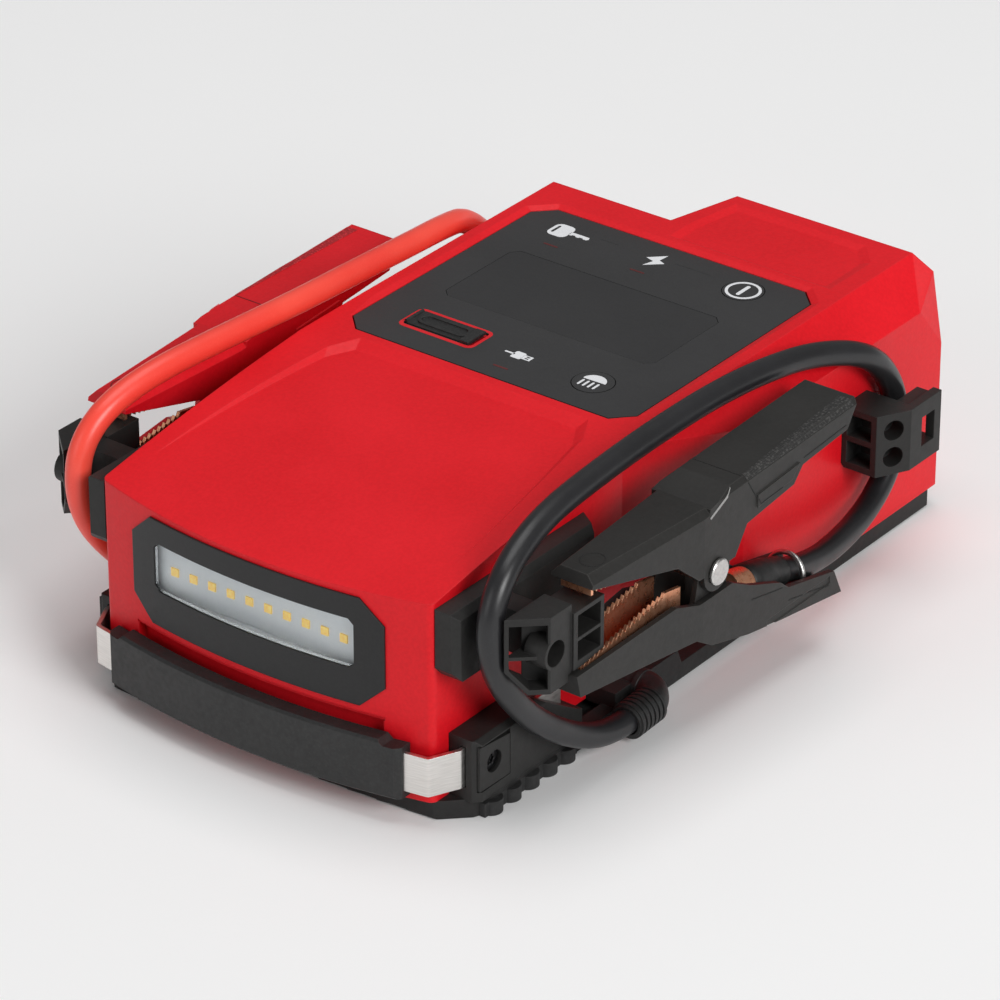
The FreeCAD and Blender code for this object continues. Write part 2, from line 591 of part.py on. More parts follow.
flap = box(-43.8, -16.0, -2.9, 7.7, PANEL_REF - 1.0, PANEL_REF + 0.1)
flap = rounded_edges(flap, 2.0, is_vertical)
rim_loop = union([rod(3.5, (-37.4, 2.4, PANEL_REF), (-37.4, 2.4, PANEL_REF + 0.7)),
                  rod(3.5, (-22.5, 2.4, PANEL_REF), (-22.5, 2.4, PANEL_REF + 0.7)),
                  box(-37.4, -22.5, -1.1, 5.9, PANEL_REF, PANEL_REF + 0.7)])
loop_hollow = union([rod(2.2, (-37.4, 2.4, PANEL_REF + 0.1), (-37.4, 2.4, PANEL_REF + 2)),
                     rod(2.2, (-22.5, 2.4, PANEL_REF + 0.1), (-22.5, 2.4, PANEL_REF + 2)),
                     box(-37.4, -22.5, 0.2, 4.6, PANEL_REF + 0.1, PANEL_REF + 2)])
rim_loop = rim_loop.cut(loop_hollow)
pull_tab = box(-19.4, -15.4, -3.3, 7.0, PANEL_REF - 0.3, PANEL_REF + 1.1)
pull_tab = pull_tab.makeChamfer(0.4, [e for e in pull_tab.Edges if e.BoundBox.ZMin > PANEL_REF + 1.0])
plug = box(-35.0, -23.2, 0.5, 5.3, 92.0, PANEL_REF - 0.9)
hinge_bar = rod(0.8, (-43.2, -2.4, PANEL_REF + 0.1), (-43.2, 7.2, PANEL_REF + 0.1))
flap = union([flap, rim_loop, pull_tab, plug, hinge_bar])
parts["usb_cover"] = flap

socket_shell = box(-36.4, -21.6, -0.4, 6.4, 82.0, 94.3).cut(box(-35.8, -22.2, 0.2, 5.8, 84.0, 96))
socket_shell = union([socket_shell, box(-34.5, -23.5, 0.6, 2.0, 83.0, 91.8)])
parts["usb_socket"] = socket_shell

board = box(-57, 57, -14, 97, 88.2, 89.8)
board = cut_by(board, [box(-37, -21, -1, 7, 80, 95)])
module = box(-41, 37, 28, 60, 89.7, 93.9)
parts["panel_board"] = union([board, module])
switches = []
for bx, by in (POWER, LAMP):
    switches.append(union([box(bx - 3, bx + 3, by - 3, by + 3, 89.85, 90.95),
                           rod(1.7, (bx, by, 90.9), (bx, by, 91.4))]))
parts["key_switches"] = Part.makeCompound(switches)


# ---------------------------------------------------------------- power train inside the case
CELL_R = 17.0
CELL_XS = (-40.0, 0.0, 40.0)
CELL_YS = (-88.0, -50.0)
holder = box(-60, 60, -106, -31, 3.05, 11.0)
cells = []
for cx in CELL_XS:
    for cy in CELL_YS:
        holder = holder.cut(rod(CELL_R + 0.3, (cx, cy, 5.0), (cx, cy, 20)))
        can = union([rod(CELL_R, (cx, cy, 5.05), (cx, cy, 66)),
                     rod(5.0, (cx, cy, 65.9), (cx, cy, 68.0))])
        cells.append(can)
parts["cell_holder"] = holder
parts["storage_cells"] = Part.makeCompound(cells)
bars = []
for cx in CELL_XS:
    bars.append(box(cx - 6, cx + 6, CELL_YS[0] - 6, CELL_YS[1] + 6, 68.05, 69.5))
bars.append(box(-46, 46, -74, -64, 69.45, 71.0))
parts["cell_busbars"] = union(bars)
main_board = box(-56, 56, -4, 110, 14.05, 15.8)
main_board = cut_by(main_board, [rod(1.6, (px, py, 10), (px, py, 20)) for px, py in STANDOFFS])
chips = [box(-30, -10, 60, 76, 15.7, 18.5), box(14, 34, 62, 82, 15.7, 18.0),
         rod(6, (-36, 90, 15.7), (-36, 90, 32)), rod(6, (-20, 92, 15.7), (-20, 92, 32))]
parts["main_board"] = union([main_board] + chips)
relays = [box(-40, -12, 6, 28, 15.85, 38), box(12, 40, 6, 28, 15.85, 38)]
parts["power_relays"] = Part.makeCompound(relays)
sink = [box(-26, 30, 34, 56, 15.85, 20)]
for i in range(8):
    sink.append(box(-26 + i * 7.6, -24 + i * 7.6, 34, 56, 19, 38))
parts["heat_sink"] = union(sink)
studs = []
for side in (1, -1):
    studs.append(union([box(side * 54 - 6, side * 54 + 6, -26, -6, 14.05, 17),
                        rod(4, (side * 54, -20, 16), (side * 54, -20, 27)),
                        rod(6.2, (side * 54, -20, 17), (side * 54, -20, 20))]))
parts["terminal_studs"] = Part.makeCompound(studs)


# battery bay at the rear left: a dock with two undercut rails and blade contacts
dock = box(-66, -20, BAY_Y + 0.05, BAY_Y + 5, 12, 74)
rails = []
for side in (-1, 1):
    x = -43 + side * 16
    rails.append(box(x - 2.5, x + 2.5, BAY_Y + 4, BAY_Y + 13, 14, 66))
    rails.append(box(min(x, x + side * 6), max(x, x + side * 6), BAY_Y + 10, BAY_Y + 13, 14, 66))
tongue_block = box(-51.7, -32.3, BAY_Y - 5.5, BAY_Y + 1, 34.3, 57.7)
dock = union([dock, tongue_block] + rails)
for x in (-48.5, -43.0, -37.5):
    dock = dock.cut(box(x - 0.5, x + 0.5, BAY_Y - 10, BAY_Y + 8, 38, 54))
parts["battery_dock"] = dock
blades = []
for x in (-48.5, -43.0, -37.5):
    blades.append(box(x - 0.45, x + 0.45, BAY_Y - 9, BAY_Y + 10, 38.2, 53.8))
parts["dock_contacts"] = Part.makeCompound(blades)


# ---------------------------------------------------------------- booster clamps
UPPER_SIDE = [(-93.6, 81.6), (-92.4, 86.0), (-32.2, 85.6), (-19.4, 88.4), (54.0, 90.4),
              (47.6, 81.0), (21.0, 79.0), (16.0, 73.6), (-11.4, 70.8), (-18.0, 61.0),
              (-38.5, 61.0), (-49.8, 70.6)]
LOWER_SIDE = [(-101.4, 52.6), (-99.4, 44.2), (-65.3, 40.8), (-39.2, 38.1), (-30.5, 32.6),
              (-9.0, 26.8), (10.2, 23.4), (47.2, 17.6), (42.4, 27.8), (14.7, 34.2), (9.5, 38.4),
              (-8.0, 45.4), (-19.0, 51.4), (-38.0, 51.4), (-50.0, 55.6)]


def clamp_plan(half_tip, half_wide, y_tip, z0, z1):
    c = CLAMP_X
    return plate_xy([(c - half_tip, y_tip), (c + half_tip, y_tip), (c + half_wide, -36),
                     (c + half_wide, 70), (c - half_wide, 70), (c - half_wide, -36)], z0, z1)


def ears(half_in, half_out, radius):
    c = CLAMP_X
    pair = []
    for side in (1, -1):
        pair.append(rod(radius, (c + side * half_in, PIN_Y, PIN_Z), (c + side * half_out, PIN_Y, PIN_Z)))
    return pair


def pin_hole(radius):
    return rod(radius, (CLAMP_X - 20, PIN_Y, PIN_Z), (CLAMP_X + 20, PIN_Y, PIN_Z))


def make_upper_arm():
    body = plate_yz(UPPER_SIDE, 80, 112).common(clamp_plan(8.0, 12.0, -100, 40, 100))
    edges = [e for e in body.Edges if e.BoundBox.ZMin > 87 and e.BoundBox.YLength > 60]
    body = body.makeChamfer(1.8, edges)
    for side in (1, -1):
        wide = CLAMP_X + side * 12.0
        tip = CLAMP_X + side * 8.0
        bevel = plane_slab((wide - side * 3.0, -36, 86.2), (tip - side * 3.0, -93, 86.4), (wide, -36, 83.2),
                           side, True, 160)
        body = body.cut(bevel.common(box(CLAMP_X - 20, CLAMP_X + 20, -105, -33, 70, 100)))
    inside = plate_yz([(-91.4, 60), (-91.4, 83.4), (-33, 83.0), (-20, 85.6), (50.6, 87.6),
                       (44.6, 60)], 80, 112).common(clamp_plan(6.2, 9.8, -98, 30, 100))
    body = body.cut(inside)
    body = union([body] + ears(9.8, 12.0, 7.2))
    body = body.cut(pin_hole(3.03))
    # cross web over the spring, and a moulded step on each side of the grip
    web = box(CLAMP_X - 9.9, CLAMP_X + 9.9, -14, -11.8, 73.0, 86.0)
    steps = []
    for side in (1, -1):
        x = CLAMP_X + side * 11.9
        steps.append(plate_yz([(-6, 74.6), (14, 76.4), (18.6, 81.0), (-6, 79.4)],
                              min(x, x + side * 0.7), max(x, x + side * 0.7)))
    return union([body, web] + steps)


def make_lower_arm():
    body = plate_yz(LOWER_SIDE, 80, 112).common(clamp_plan(8.0, 12.0, -106, 10, 70))
    inside = plate_yz([(-97.2, 80), (-97.2, 46.6), (-65, 43.4), (-38, 40.7), (-29.4, 35.2),
                       (-8, 29.4), (10.8, 26.0), (60, 18.3), (60, 80)], 80, 112)
    inside = inside.common(clamp_plan(6.2, 9.8, -104, 10, 90))
    body = body.cut(inside)
    ear_plates = []
    for side in (1, -1):
        a = CLAMP_X + side * 7.3
        b = CLAMP_X + side * 9.45
        profile = [(PIN_Y - 9, 50), (PIN_Y + 9.5, 50), (PIN_Y + 6, PIN_Z + 4.4),
                   (PIN_Y - 6, PIN_Z + 4.4)]
        ear = plate_yz(profile, min(a, b), max(a, b))
        ear_plates.append(ear)
        lug = CLAMP_X + side * 10.5
        ear_plates.append(box(min(a, lug), max(a, lug), PIN_Y - 9, PIN_Y + 9.5, 42.0, 50.6))
    ear_plates += ears(7.3, 9.45, 7.2)
    body = union([body] + ear_plates)
    body = body.cut(pin_hole(3.0))
    return cut_by(body, [box(CLAMP_X - 13, CLAMP_X - 11.6, 2, 40, 24, 27),
                         box(CLAMP_X + 11.6, CLAMP_X + 13, 2, 40, 24, 27)])


def tooth_line(y0, z0, y1, z1, count, depth, toward):
    points = []
    for i in range(count):
        t = (i + 0.0) / count
        u = (i + 1.0) / count
        mid = (t + u) / 2.0
        points.append((y0 + (y1 - y0) * t, z0 + (z1 - z0) * t))
        points.append((y0 + (y1 - y0) * mid, z0 + (z1 - z0) * mid + toward * depth))
    points.append((y1, z1))
    return points


JAW_HALF = 6.05
JAW_T = 1.3


def make_upper_jaw():
    teeth = tooth_line(-90.6, 78.4, -49.0, 70.2, 17, 1.9, 1.0)
    ring = teeth + [(-41.0, 66.0), (-39.0, 76.0), (-39.0, 82.9), (-91.2, 83.3)]
    solid = plate_yz(ring, CLAMP_X - JAW_HALF, CLAMP_X + JAW_HALF)
    hollow = box(CLAMP_X - JAW_HALF + JAW_T, CLAMP_X + JAW_HALF - JAW_T, -90.0, -30, 60, 81.6)
    jaw = solid.cut(hollow)
    front = box(CLAMP_X - JAW_HALF, CLAMP_X + JAW_HALF, -91.2, -90.0, 77.6, 83.2)
    return union([jaw, front])


def make_lower_jaw():
    teeth = tooth_line(-96.4, 53.9, -50.0, 59.6, 18, 1.9, -1.0)
    ring = teeth + [(-41.0, 58.0), (-41.0, 43.4), (-65.0, 43.5), (-96.9, 46.7)]
    solid = plate_yz(ring, CLAMP_X - JAW_HALF, CLAMP_X + JAW_HALF)
    hollow = plate_yz([(-95.6, 80), (-95.6, 47.9), (-65, 44.8), (-41, 44.7), (-30, 44.7), (-30, 80)],
                      CLAMP_X - JAW_HALF + JAW_T, CLAMP_X + JAW_HALF - JAW_T)
    jaw = solid.cut(hollow)
    # conductor strap that runs back under the pin to the crimp on the cable end
    strap_side = [(-42, 43.45), (-36.0, 41.2), (-27.5, 36.8), (-8.0, 31.2), (2.0, 29.6), (2.0, 31.0),
                  (-7.6, 32.6), (-27.0, 38.2), (-35.4, 42.6), (-42, 44.8)]
    link = plate_yz(strap_side, CLAMP_X - 5.0, CLAMP_X + 5.0)
    barrel_dir = Vector(0, 24.4, -5.2).normalize()
    cable_end = Vector(CLAMP_X, -4.4, 38.3)
    barrel = Part.makeCylinder(6.0, 11.0, cable_end - barrel_dir * 1.4, barrel_dir)
    bore = Part.makeCylinder(4.55, 12.0, cable_end - barrel_dir * 0.02, barrel_dir)
    web = box(CLAMP_X - 3, CLAMP_X + 3, -5.6, 2.0, 30.4, 34.0)
    return union([jaw, link, barrel, web]).cut(bore)


def make_pin():
    c = CLAMP_X
    head = 4.8
    pin = union([rod(2.95, (c - 13.0, PIN_Y, PIN_Z), (c + 13.0, PIN_Y, PIN_Z)),
                 rod(head, (c + 12.35, PIN_Y, PIN_Z), (c + 13.6, PIN_Y, PIN_Z)),
                 rod(head, (c - 13.6, PIN_Y, PIN_Z), (c - 12.35, PIN_Y, PIN_Z))])
    return pin.makeChamfer(0.4, [e for e in pin.Edges if abs(e.BoundBox.XMax - (c + 13.6)) < 1e-6
                                 and e.BoundBox.XLength < 1e-6])


def make_spring():
    c = CLAMP_X
    coils = []
    for i in range(7):
        coils.append(Part.makeTorus(4.4, 0.85, Vector(c - 4.5 + i * 1.5, PIN_Y, PIN_Z), Vector(1, 0, 0)))
    legs = [rod(0.8, (c - 4.5, PIN_Y, PIN_Z + 4.4), (c - 4.5, PIN_Y + 13.0, PIN_Z + 11.0)),
            rod(0.8, (c + 4.5, PIN_Y, PIN_Z - 4.4), (c + 4.5, PIN_Y + 16.0, PIN_Z - 20.0))]
    return union(coils + legs)


RING_Y = 30.0
RING_Z = 30.0


def make_ring():
    loop = Part.makeTorus(7.2, 0.95, Vector(CLAMP_X, RING_Y, RING_Z - 1.0), Vector(0, 1, -0.2))
    return loop


arm_upper = make_upper_arm()
arm_lower = make_lower_arm()
jaw_upper = make_upper_jaw()
jaw_lower = make_lower_jaw()
pin = make_pin()
spring = make_spring()
ring = make_ring()
ring_slots = Part.makeTorus(7.2, 1.0, Vector(CLAMP_X, RING_Y, RING_Z - 1.0), Vector(0, 1, -0.2))
arm_lower = arm_lower.cut(ring_slots)

# ---------------------------------------------------------------- cables and strain reliefs
RELIEF = [(80.0, -35.0, 9.6), (86.5, -35.0, 9.6), (91.6, -41.0, 9.2), (91.6, -56.0, 8.6)]


def make_relief():
    core = swept(RELIEF, bend_radii(RELIEF), 5.9)
    rings = []
    runs = [Vector(*p) for p in RELIEF]
    for i in range(6):
        y = -42.5 - i * 2.4
        t = (y - runs[2].y) / (runs[3].y - runs[2].y)
        z = runs[2].z + (runs[3].z - runs[2].z) * t
        rings.append(Part.makeCylinder(6.7, 1.3, Vector(91.6, y - 0.65, z), Vector(0, 1, 0)))
    flange = rod(6.2, (82.05, -35, 9.6), (84.0, -35, 9.6)).common(box(80, 90, -60, 0, 2.7, 30))
    body = union([core, flange] + rings)
    stub = rod(5.3, (72.0, -35, 9.6), (82.2, -35, 9.6))
    body = union([body.cut(rod(9, (70, -35, 9.6), (82.0, -35, 9.6))), stub])
    end = Vector(91.6, -56.0, 8.6)
    back = (runs[2] - runs[3]).normalize()
    bore = Part.makeCylinder(CABLE_D / 2.0 + 0.25, 11.0, end - back * 1.0, back)
    return body.cut(bore)


relief = make_relief()
BLACK_ROUTE = [(91.6, -46.0, 9.0), (91.6, -60.0, 8.44), (90.6, -76.0, 12.0), (88.9, -94.2, 23.4),
               (88.1, -110.3, 38.5), (88.0, -122.5, 55.3), (87.5, -127.0, 70.3),
               (87.4, -124.6, 84.8), (85.9, -112.9, 95.4), (82.8, -90.8, 100.8),
               (79.9, -57.6, 101.0), (77.6, -22.0, 100.2), (77.0, 14.0, 99.2), (78.2, 44.0, 96.8),
               (81.5, 68.0, 93.5), (88.0, 90.0, 86.5), (87.5, 106.5, 69.5), (87.4, 112.4, 49.0),
               (88.2, 105.2, 32.1), (90.8, 85.9, 23.7), (96.2, 57.0, 25.0), (98.6, 37.0, 29.0),
               (99.0, 16.0, 35.9), (99.0, -8.4, 41.1)]
print("black cable bend radii", [round(r, 1) for r in bend_radii(BLACK_ROUTE)])
cable = swept(BLACK_ROUTE, bend_radii(BLACK_ROUTE), CABLE_D / 2.0)
print("cable volume / section length", round(cable.Volume), round(cable.Volume / (math.pi * CABLE_D ** 2 / 4.0), 1))

for shape in (arm_upper, arm_lower, jaw_upper, jaw_lower, pin, spring, ring):
    shape.translate(SIDE_SHIFT)
side_pieces = {"upper_arm": arm_upper, "lower_arm": arm_lower, "upper_jaw": jaw_upper,
               "lower_jaw": jaw_lower, "pivot_pin": pin, "spring": spring, "cable_ring": ring,
               "strain_relief": relief, "cable": cable}
for name, shape in side_pieces.items():
    parts["black_" + name] = shape
    parts["red_" + name] = mirrored(shape)

# ---------------------------------------------------------------- export
os.makedirs("parts", exist_ok=True)
whole = Part.makeCompound([s for n, s in parts.items() if not n.endswith("_cable")])
print("box", whole.BoundBox)
for name in sorted(parts):
    shape = parts[name]
    shape.translate(Vector(0, CENTRE_Y, 0))
    solids = shape.Solids
    print(name, "solids", len(solids), "volume", round(shape.Volume), "valid", shape.isValid())
    shape.exportStep("parts/" + name + ".step")
print("nodes", len(parts))
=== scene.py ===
import math

import bmesh
import bpy
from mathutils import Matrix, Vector
from mathutils.bvhtree import BVHTree


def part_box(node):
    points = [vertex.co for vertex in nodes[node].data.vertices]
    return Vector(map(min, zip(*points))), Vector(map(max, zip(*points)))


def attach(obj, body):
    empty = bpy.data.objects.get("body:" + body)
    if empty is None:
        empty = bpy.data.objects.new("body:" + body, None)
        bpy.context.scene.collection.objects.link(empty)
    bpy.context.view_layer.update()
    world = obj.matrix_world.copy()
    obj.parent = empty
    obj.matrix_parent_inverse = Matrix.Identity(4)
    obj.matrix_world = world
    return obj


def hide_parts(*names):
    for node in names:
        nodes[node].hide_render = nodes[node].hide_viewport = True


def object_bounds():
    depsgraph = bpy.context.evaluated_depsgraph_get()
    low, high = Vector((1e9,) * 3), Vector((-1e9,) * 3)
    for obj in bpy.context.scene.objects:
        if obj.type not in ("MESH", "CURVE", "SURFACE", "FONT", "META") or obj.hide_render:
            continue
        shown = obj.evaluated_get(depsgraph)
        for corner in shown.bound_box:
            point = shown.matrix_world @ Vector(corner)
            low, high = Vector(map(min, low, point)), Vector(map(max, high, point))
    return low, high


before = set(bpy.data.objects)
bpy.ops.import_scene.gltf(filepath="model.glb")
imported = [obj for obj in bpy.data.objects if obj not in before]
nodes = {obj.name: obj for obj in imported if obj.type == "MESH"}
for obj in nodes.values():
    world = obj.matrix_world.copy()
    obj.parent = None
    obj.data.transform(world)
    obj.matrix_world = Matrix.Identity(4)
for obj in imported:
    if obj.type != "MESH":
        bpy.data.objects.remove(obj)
cad_lo, cad_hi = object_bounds()
scene = bpy.context.scene
scene.view_settings.view_transform = "Standard"

MM = 0.001
PANEL_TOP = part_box("control_panel")[1].z / MM
CABLE_RADIUS = 0.0045


# ------------------------------------------------------------------ node helpers
class Graph:
    """A material's node tree, with the pieces every finish here is made of."""

    def __init__(self, name):
        self.mat = bpy.data.materials.new(name)
        self.mat.use_nodes = True
        self.tree = self.mat.node_tree
        self.tree.nodes.clear()
        self.out = self.tree.nodes.new("ShaderNodeOutputMaterial")
        self.bsdf = self.tree.nodes.new("ShaderNodeBsdfPrincipled")
        self.link(self.bsdf.outputs[0], self.out.inputs[0])
        self.coord = self.tree.nodes.new("ShaderNodeTexCoord").outputs["Object"]

    def link(self, a, b):
        self.tree.links.new(a, b)

    def node(self, kind, **settings):
        n = self.tree.nodes.new(kind)
        for key, value in settings.items():
            setattr(n, key, value)
        return n

    def stretched(self, scale):
        n = self.node("ShaderNodeMapping")
        n.inputs["Scale"].default_value = scale
        self.link(self.coord, n.inputs["Vector"])
        return n.outputs[0]

    def noise(self, scale, detail=3.0, rough=0.5, vector=None):
        n = self.node("ShaderNodeTexNoise")
        n.inputs["Scale"].default_value = scale
        n.inputs["Detail"].default_value = detail
        n.inputs["Roughness"].default_value = rough
        self.link(vector or self.coord, n.inputs["Vector"])
        return n.outputs["Fac"]

    def cells(self, scale, vector=None, feature="F1"):
        n = self.node("ShaderNodeTexVoronoi", feature=feature)
        n.inputs["Scale"].default_value = scale
        self.link(vector or self.coord, n.inputs["Vector"])
        return n.outputs["Distance"]

    def remap(self, value, low, high, to_low, to_high):
        n = self.node("ShaderNodeMapRange")
        self.link(value, n.inputs["Value"])
        for key, number in zip(("From Min", "From Max", "To Min", "To Max"), (low, high, to_low, to_high)):
            n.inputs[key].default_value = number
        return n.outputs[0]

    def math(self, op, a, b):
        n = self.node("ShaderNodeMath", operation=op)
        for socket, value in zip(n.inputs, (a, b)):
            if isinstance(value, (int, float)):
                socket.default_value = value
            else:
                self.link(value, socket)
        return n.outputs[0]

    def mix(self, factor, a, b):
        n = self.node("ShaderNodeMix", data_type="RGBA")
        self.link(factor, n.inputs[0])
        for socket, value in ((n.inputs[6], a), (n.inputs[7], b)):
            if isinstance(value, tuple):
                socket.default_value = (*value, 1)
            else:
                self.link(value, socket)
        return n.outputs[2]

    def edges(self, radius):
        """1 along rounded edges and 0 on the flats, and the rounded normal."""
        n = self.node("ShaderNodeBevel", samples=4)
        n.inputs["Radius"].default_value = radius
        flat = self.node("ShaderNodeNewGeometry").outputs["Normal"]
        dot = self.node("ShaderNodeVectorMath", operation="DOT_PRODUCT")
        self.link(n.outputs[0], dot.inputs[0])
        self.link(flat, dot.inputs[1])
        return self.remap(dot.outputs["Value"], 0.995, 0.86, 0.0, 1.0), n.outputs[0]

    def bump(self, height, depth, normal=None):
        n = self.node("ShaderNodeBump")
        n.inputs["Strength"].default_value = 1.0
        n.inputs["Distance"].default_value = depth
        self.link(height, n.inputs["Height"])
        if normal is not None:
            self.link(normal, n.inputs["Normal"])
        return n.outputs[0]


def moulded(name, deep, pale, rough, grain=1500.0, depth=0.00002, patch=22.0, edge=0.0005,
            edge_highlight_wear_tint=None, specular=0.5, coat=0.0):
    """Injection-moulded plastic: mottled colour, fine spark-eroded grain, softly rounded edges painted paler as
    painted highlight and wear.
    """
    g = Graph(name)
    blotch = g.remap(g.noise(patch, 4.0), 0.3, 0.7, 0.0, 1.0)
    colour = g.mix(blotch, deep, pale)
    speck = g.remap(g.noise(grain * 0.6, 2.0), 0.35, 0.65, 0.0, 1.0)
    fine = g.mix(g.math("MULTIPLY", speck, 0.22), colour, tuple(min(1.0, c * 1.25 + 0.004) for c in pale))
    normal = None
    if edge:
        # Painted highlight and wear: the colour turns paler along the rounded edges.
        edge_mask_highlight_wear, normal = g.edges(edge)
        tint = edge_highlight_wear_tint or tuple(min(1.0, c * 1.35 + 0.012) for c in pale)
        fine = g.mix(g.math("MULTIPLY", edge_mask_highlight_wear, 0.5), fine, tint)
    g.link(fine, g.bsdf.inputs["Base Color"])
    g.link(g.remap(g.math("ADD", g.noise(grain * 0.25, 2.0), g.math("MULTIPLY", blotch, 0.3)), 0.4, 1.0,
                   rough[0], rough[1]), g.bsdf.inputs["Roughness"])
    height = g.math("ADD", g.noise(grain, 2.0), g.math("MULTIPLY", g.cells(grain * 0.55), 0.7))
    g.link(g.bump(height, depth, normal), g.bsdf.inputs["Normal"])
    g.bsdf.inputs["Specular IOR Level"].default_value = specular
    g.bsdf.inputs["Coat Weight"].default_value = coat
    return g.mat


def rubber(name, deep, pale, rough=(0.55, 0.75), grain=900.0, depth=0.00003, edge=0.0004, sheen=0.0):
    g = Graph(name)
    cloud = g.remap(g.noise(60.0, 4.0), 0.3, 0.7, 0.0, 1.0)
    dust = g.remap(g.noise(grain, 3.0), 0.45, 0.75, 0.0, 0.5)
    colour = g.mix(dust, g.mix(cloud, deep, pale), tuple(min(1.0, c * 1.5 + 0.01) for c in pale))
    # Painted highlight and wear: the colour turns paler along the rounded edges.
    edge_mask_highlight_wear, normal = g.edges(edge)
    colour = g.mix(g.math("MULTIPLY", edge_mask_highlight_wear, 0.4), colour, tuple(min(1.0, c * 1.5 + 0.02) for c in pale))
    g.link(colour, g.bsdf.inputs["Base Color"])
    g.link(g.remap(g.noise(grain * 0.5, 2.0), 0.3, 0.7, rough[0], rough[1]), g.bsdf.inputs["Roughness"])
    g.link(g.bump(g.noise(grain * 1.3, 3.0), depth, normal), g.bsdf.inputs["Normal"])
    g.bsdf.inputs["Sheen Weight"].default_value = sheen
    return g.mat


def metal(name, deep, pale, rough, brush=(1.0, 1.0, 1.0), scale=700.0, depth=0.00001, edge=0.0003, tarnish=None,
          metallic=1.0):
    g = Graph(name)
    grain = g.noise(scale, 4.0, vector=g.stretched(brush))
    colour = g.mix(g.remap(grain, 0.3, 0.7, 0.0, 1.0), deep, pale)
    if tarnish:
        stain = g.remap(g.noise(120.0, 5.0, 0.6), 0.5, 0.72, 0.0, 0.75)
        colour = g.mix(stain, colour, tarnish)
    # Painted highlight and wear: the colour turns paler along the rounded edges.
    edge_mask_highlight_wear, normal = g.edges(edge)
    colour = g.mix(g.math("MULTIPLY", edge_mask_highlight_wear, 0.5), colour, tuple(min(1.0, c * 1.2 + 0.03) for c in pale))
    g.link(colour, g.bsdf.inputs["Base Color"])
    g.link(g.remap(grain, 0.3, 0.7, rough[0], rough[1]), g.bsdf.inputs["Roughness"])
    g.link(g.bump(grain, depth, normal), g.bsdf.inputs["Normal"])
    g.bsdf.inputs["Metallic"].default_value = metallic
    return g.mat


def film(name, deep, pale, rough=(0.42, 0.55), specular=0.4):
    """Screen-printed overlay: an even matte film with a very fine orange peel."""
    g = Graph(name)
    colour = g.mix(g.remap(g.noise(35.0, 4.0), 0.3, 0.7, 0.0, 1.0), deep, pale)
    colour = g.mix(g.remap(g.noise(2600.0, 1.0), 0.5, 0.8, 0.0, 0.35), colour,
                   tuple(min(1.0, c * 1.4 + 0.01) for c in pale))
    g.link(colour, g.bsdf.inputs["Base Color"])
    g.link(g.remap(g.noise(400.0, 3.0), 0.3, 0.7, rough[0], rough[1]), g.bsdf.inputs["Roughness"])
    g.link(g.bump(g.noise(1800.0, 2.0), 0.000012), g.bsdf.inputs["Normal"])
    g.bsdf.inputs["Specular IOR Level"].default_value = specular
    return g.mat


# The edge tints given here are painted highlight and wear along the rounded edges.
RED = moulded("red_shell", (0.66, 0.004, 0.010), (0.74, 0.007, 0.015), (0.40, 0.50), grain=1300.0,
              depth=0.000010, edge=0.0007, edge_highlight_wear_tint=(0.86, 0.035, 0.045), specular=0.26)
BLACK = moulded("black_plastic", (0.017, 0.0165, 0.016), (0.025, 0.0245, 0.0235), (0.44, 0.56), grain=1100.0,
                depth=0.000022, edge=0.0005, specular=0.26)
BASE = moulded("base_plastic", (0.014, 0.0135, 0.0135), (0.022, 0.0215, 0.021), (0.5, 0.62), grain=1000.0,
               depth=0.00003, edge=0.0005, specular=0.28)
GRIP = rubber("grip_black", (0.010, 0.010, 0.010), (0.016, 0.016, 0.016), (0.46, 0.6), grain=1000.0)
TREAD = rubber("tread_rubber", (0.012, 0.012, 0.012), (0.019, 0.019, 0.019), (0.6, 0.8), grain=700.0,
               depth=0.00005)
BEZEL = moulded("bezel_black", (0.011, 0.011, 0.0115), (0.017, 0.017, 0.0175), (0.34, 0.44), grain=1400.0,
                depth=0.000012, edge=0.0006, specular=0.34)
CLAMP_BLACK = moulded("clamp_black", (0.019, 0.0185, 0.0175), (0.028, 0.027, 0.0255), (0.42, 0.54), grain=1200.0,
                      depth=0.00002, edge=0.00045, edge_highlight_wear_tint=(0.11, 0.106, 0.10), specular=0.26)
CLAMP_RED = moulded("clamp_red", (0.60, 0.003, 0.009), (0.68, 0.006, 0.014), (0.38, 0.5), grain=1200.0,
                    depth=0.00002, edge=0.00045, edge_highlight_wear_tint=(0.85, 0.05, 0.06), specular=0.28)
PANEL = film("panel_overlay", (0.029, 0.029, 0.030), (0.034, 0.034, 0.035))
GLASS = film("display_glass", (0.026, 0.026, 0.027), (0.030, 0.030, 0.031), (0.34, 0.44))
KEY = film("key_black", (0.029, 0.029, 0.030), (0.035, 0.035, 0.036))
INK = film("icon_ink", (0.74, 0.75, 0.77), (0.82, 0.83, 0.85), (0.5, 0.62))
# Painted shade: the dark colour of the overlay's creases.
CREASE_SHADE = film("line_ink", (0.020, 0.020, 0.021), (0.028, 0.028, 0.029))
DIM_RED = film("indicator_dim", (0.085, 0.014, 0.014), (0.13, 0.020, 0.020), (0.3, 0.45))
RED_INK = film("outline_red", (0.60, 0.008, 0.014), (0.70, 0.012, 0.020), (0.4, 0.5))
STEEL = metal("steel", (0.72, 0.70, 0.67), (0.86, 0.84, 0.81), (0.28, 0.42), brush=(0.6, 1.0, 14.0), scale=180.0)
PIN_STEEL = metal("pin_steel", (0.56, 0.55, 0.54), (0.70, 0.69, 0.67), (0.26, 0.4), scale=900.0)
SCREW = metal("screw_black", (0.045, 0.045, 0.047), (0.07, 0.07, 0.072), (0.3, 0.45), scale=800.0)
SPRING = metal("spring_steel", (0.26, 0.26, 0.27), (0.40, 0.40, 0.41), (0.28, 0.4), scale=800.0)
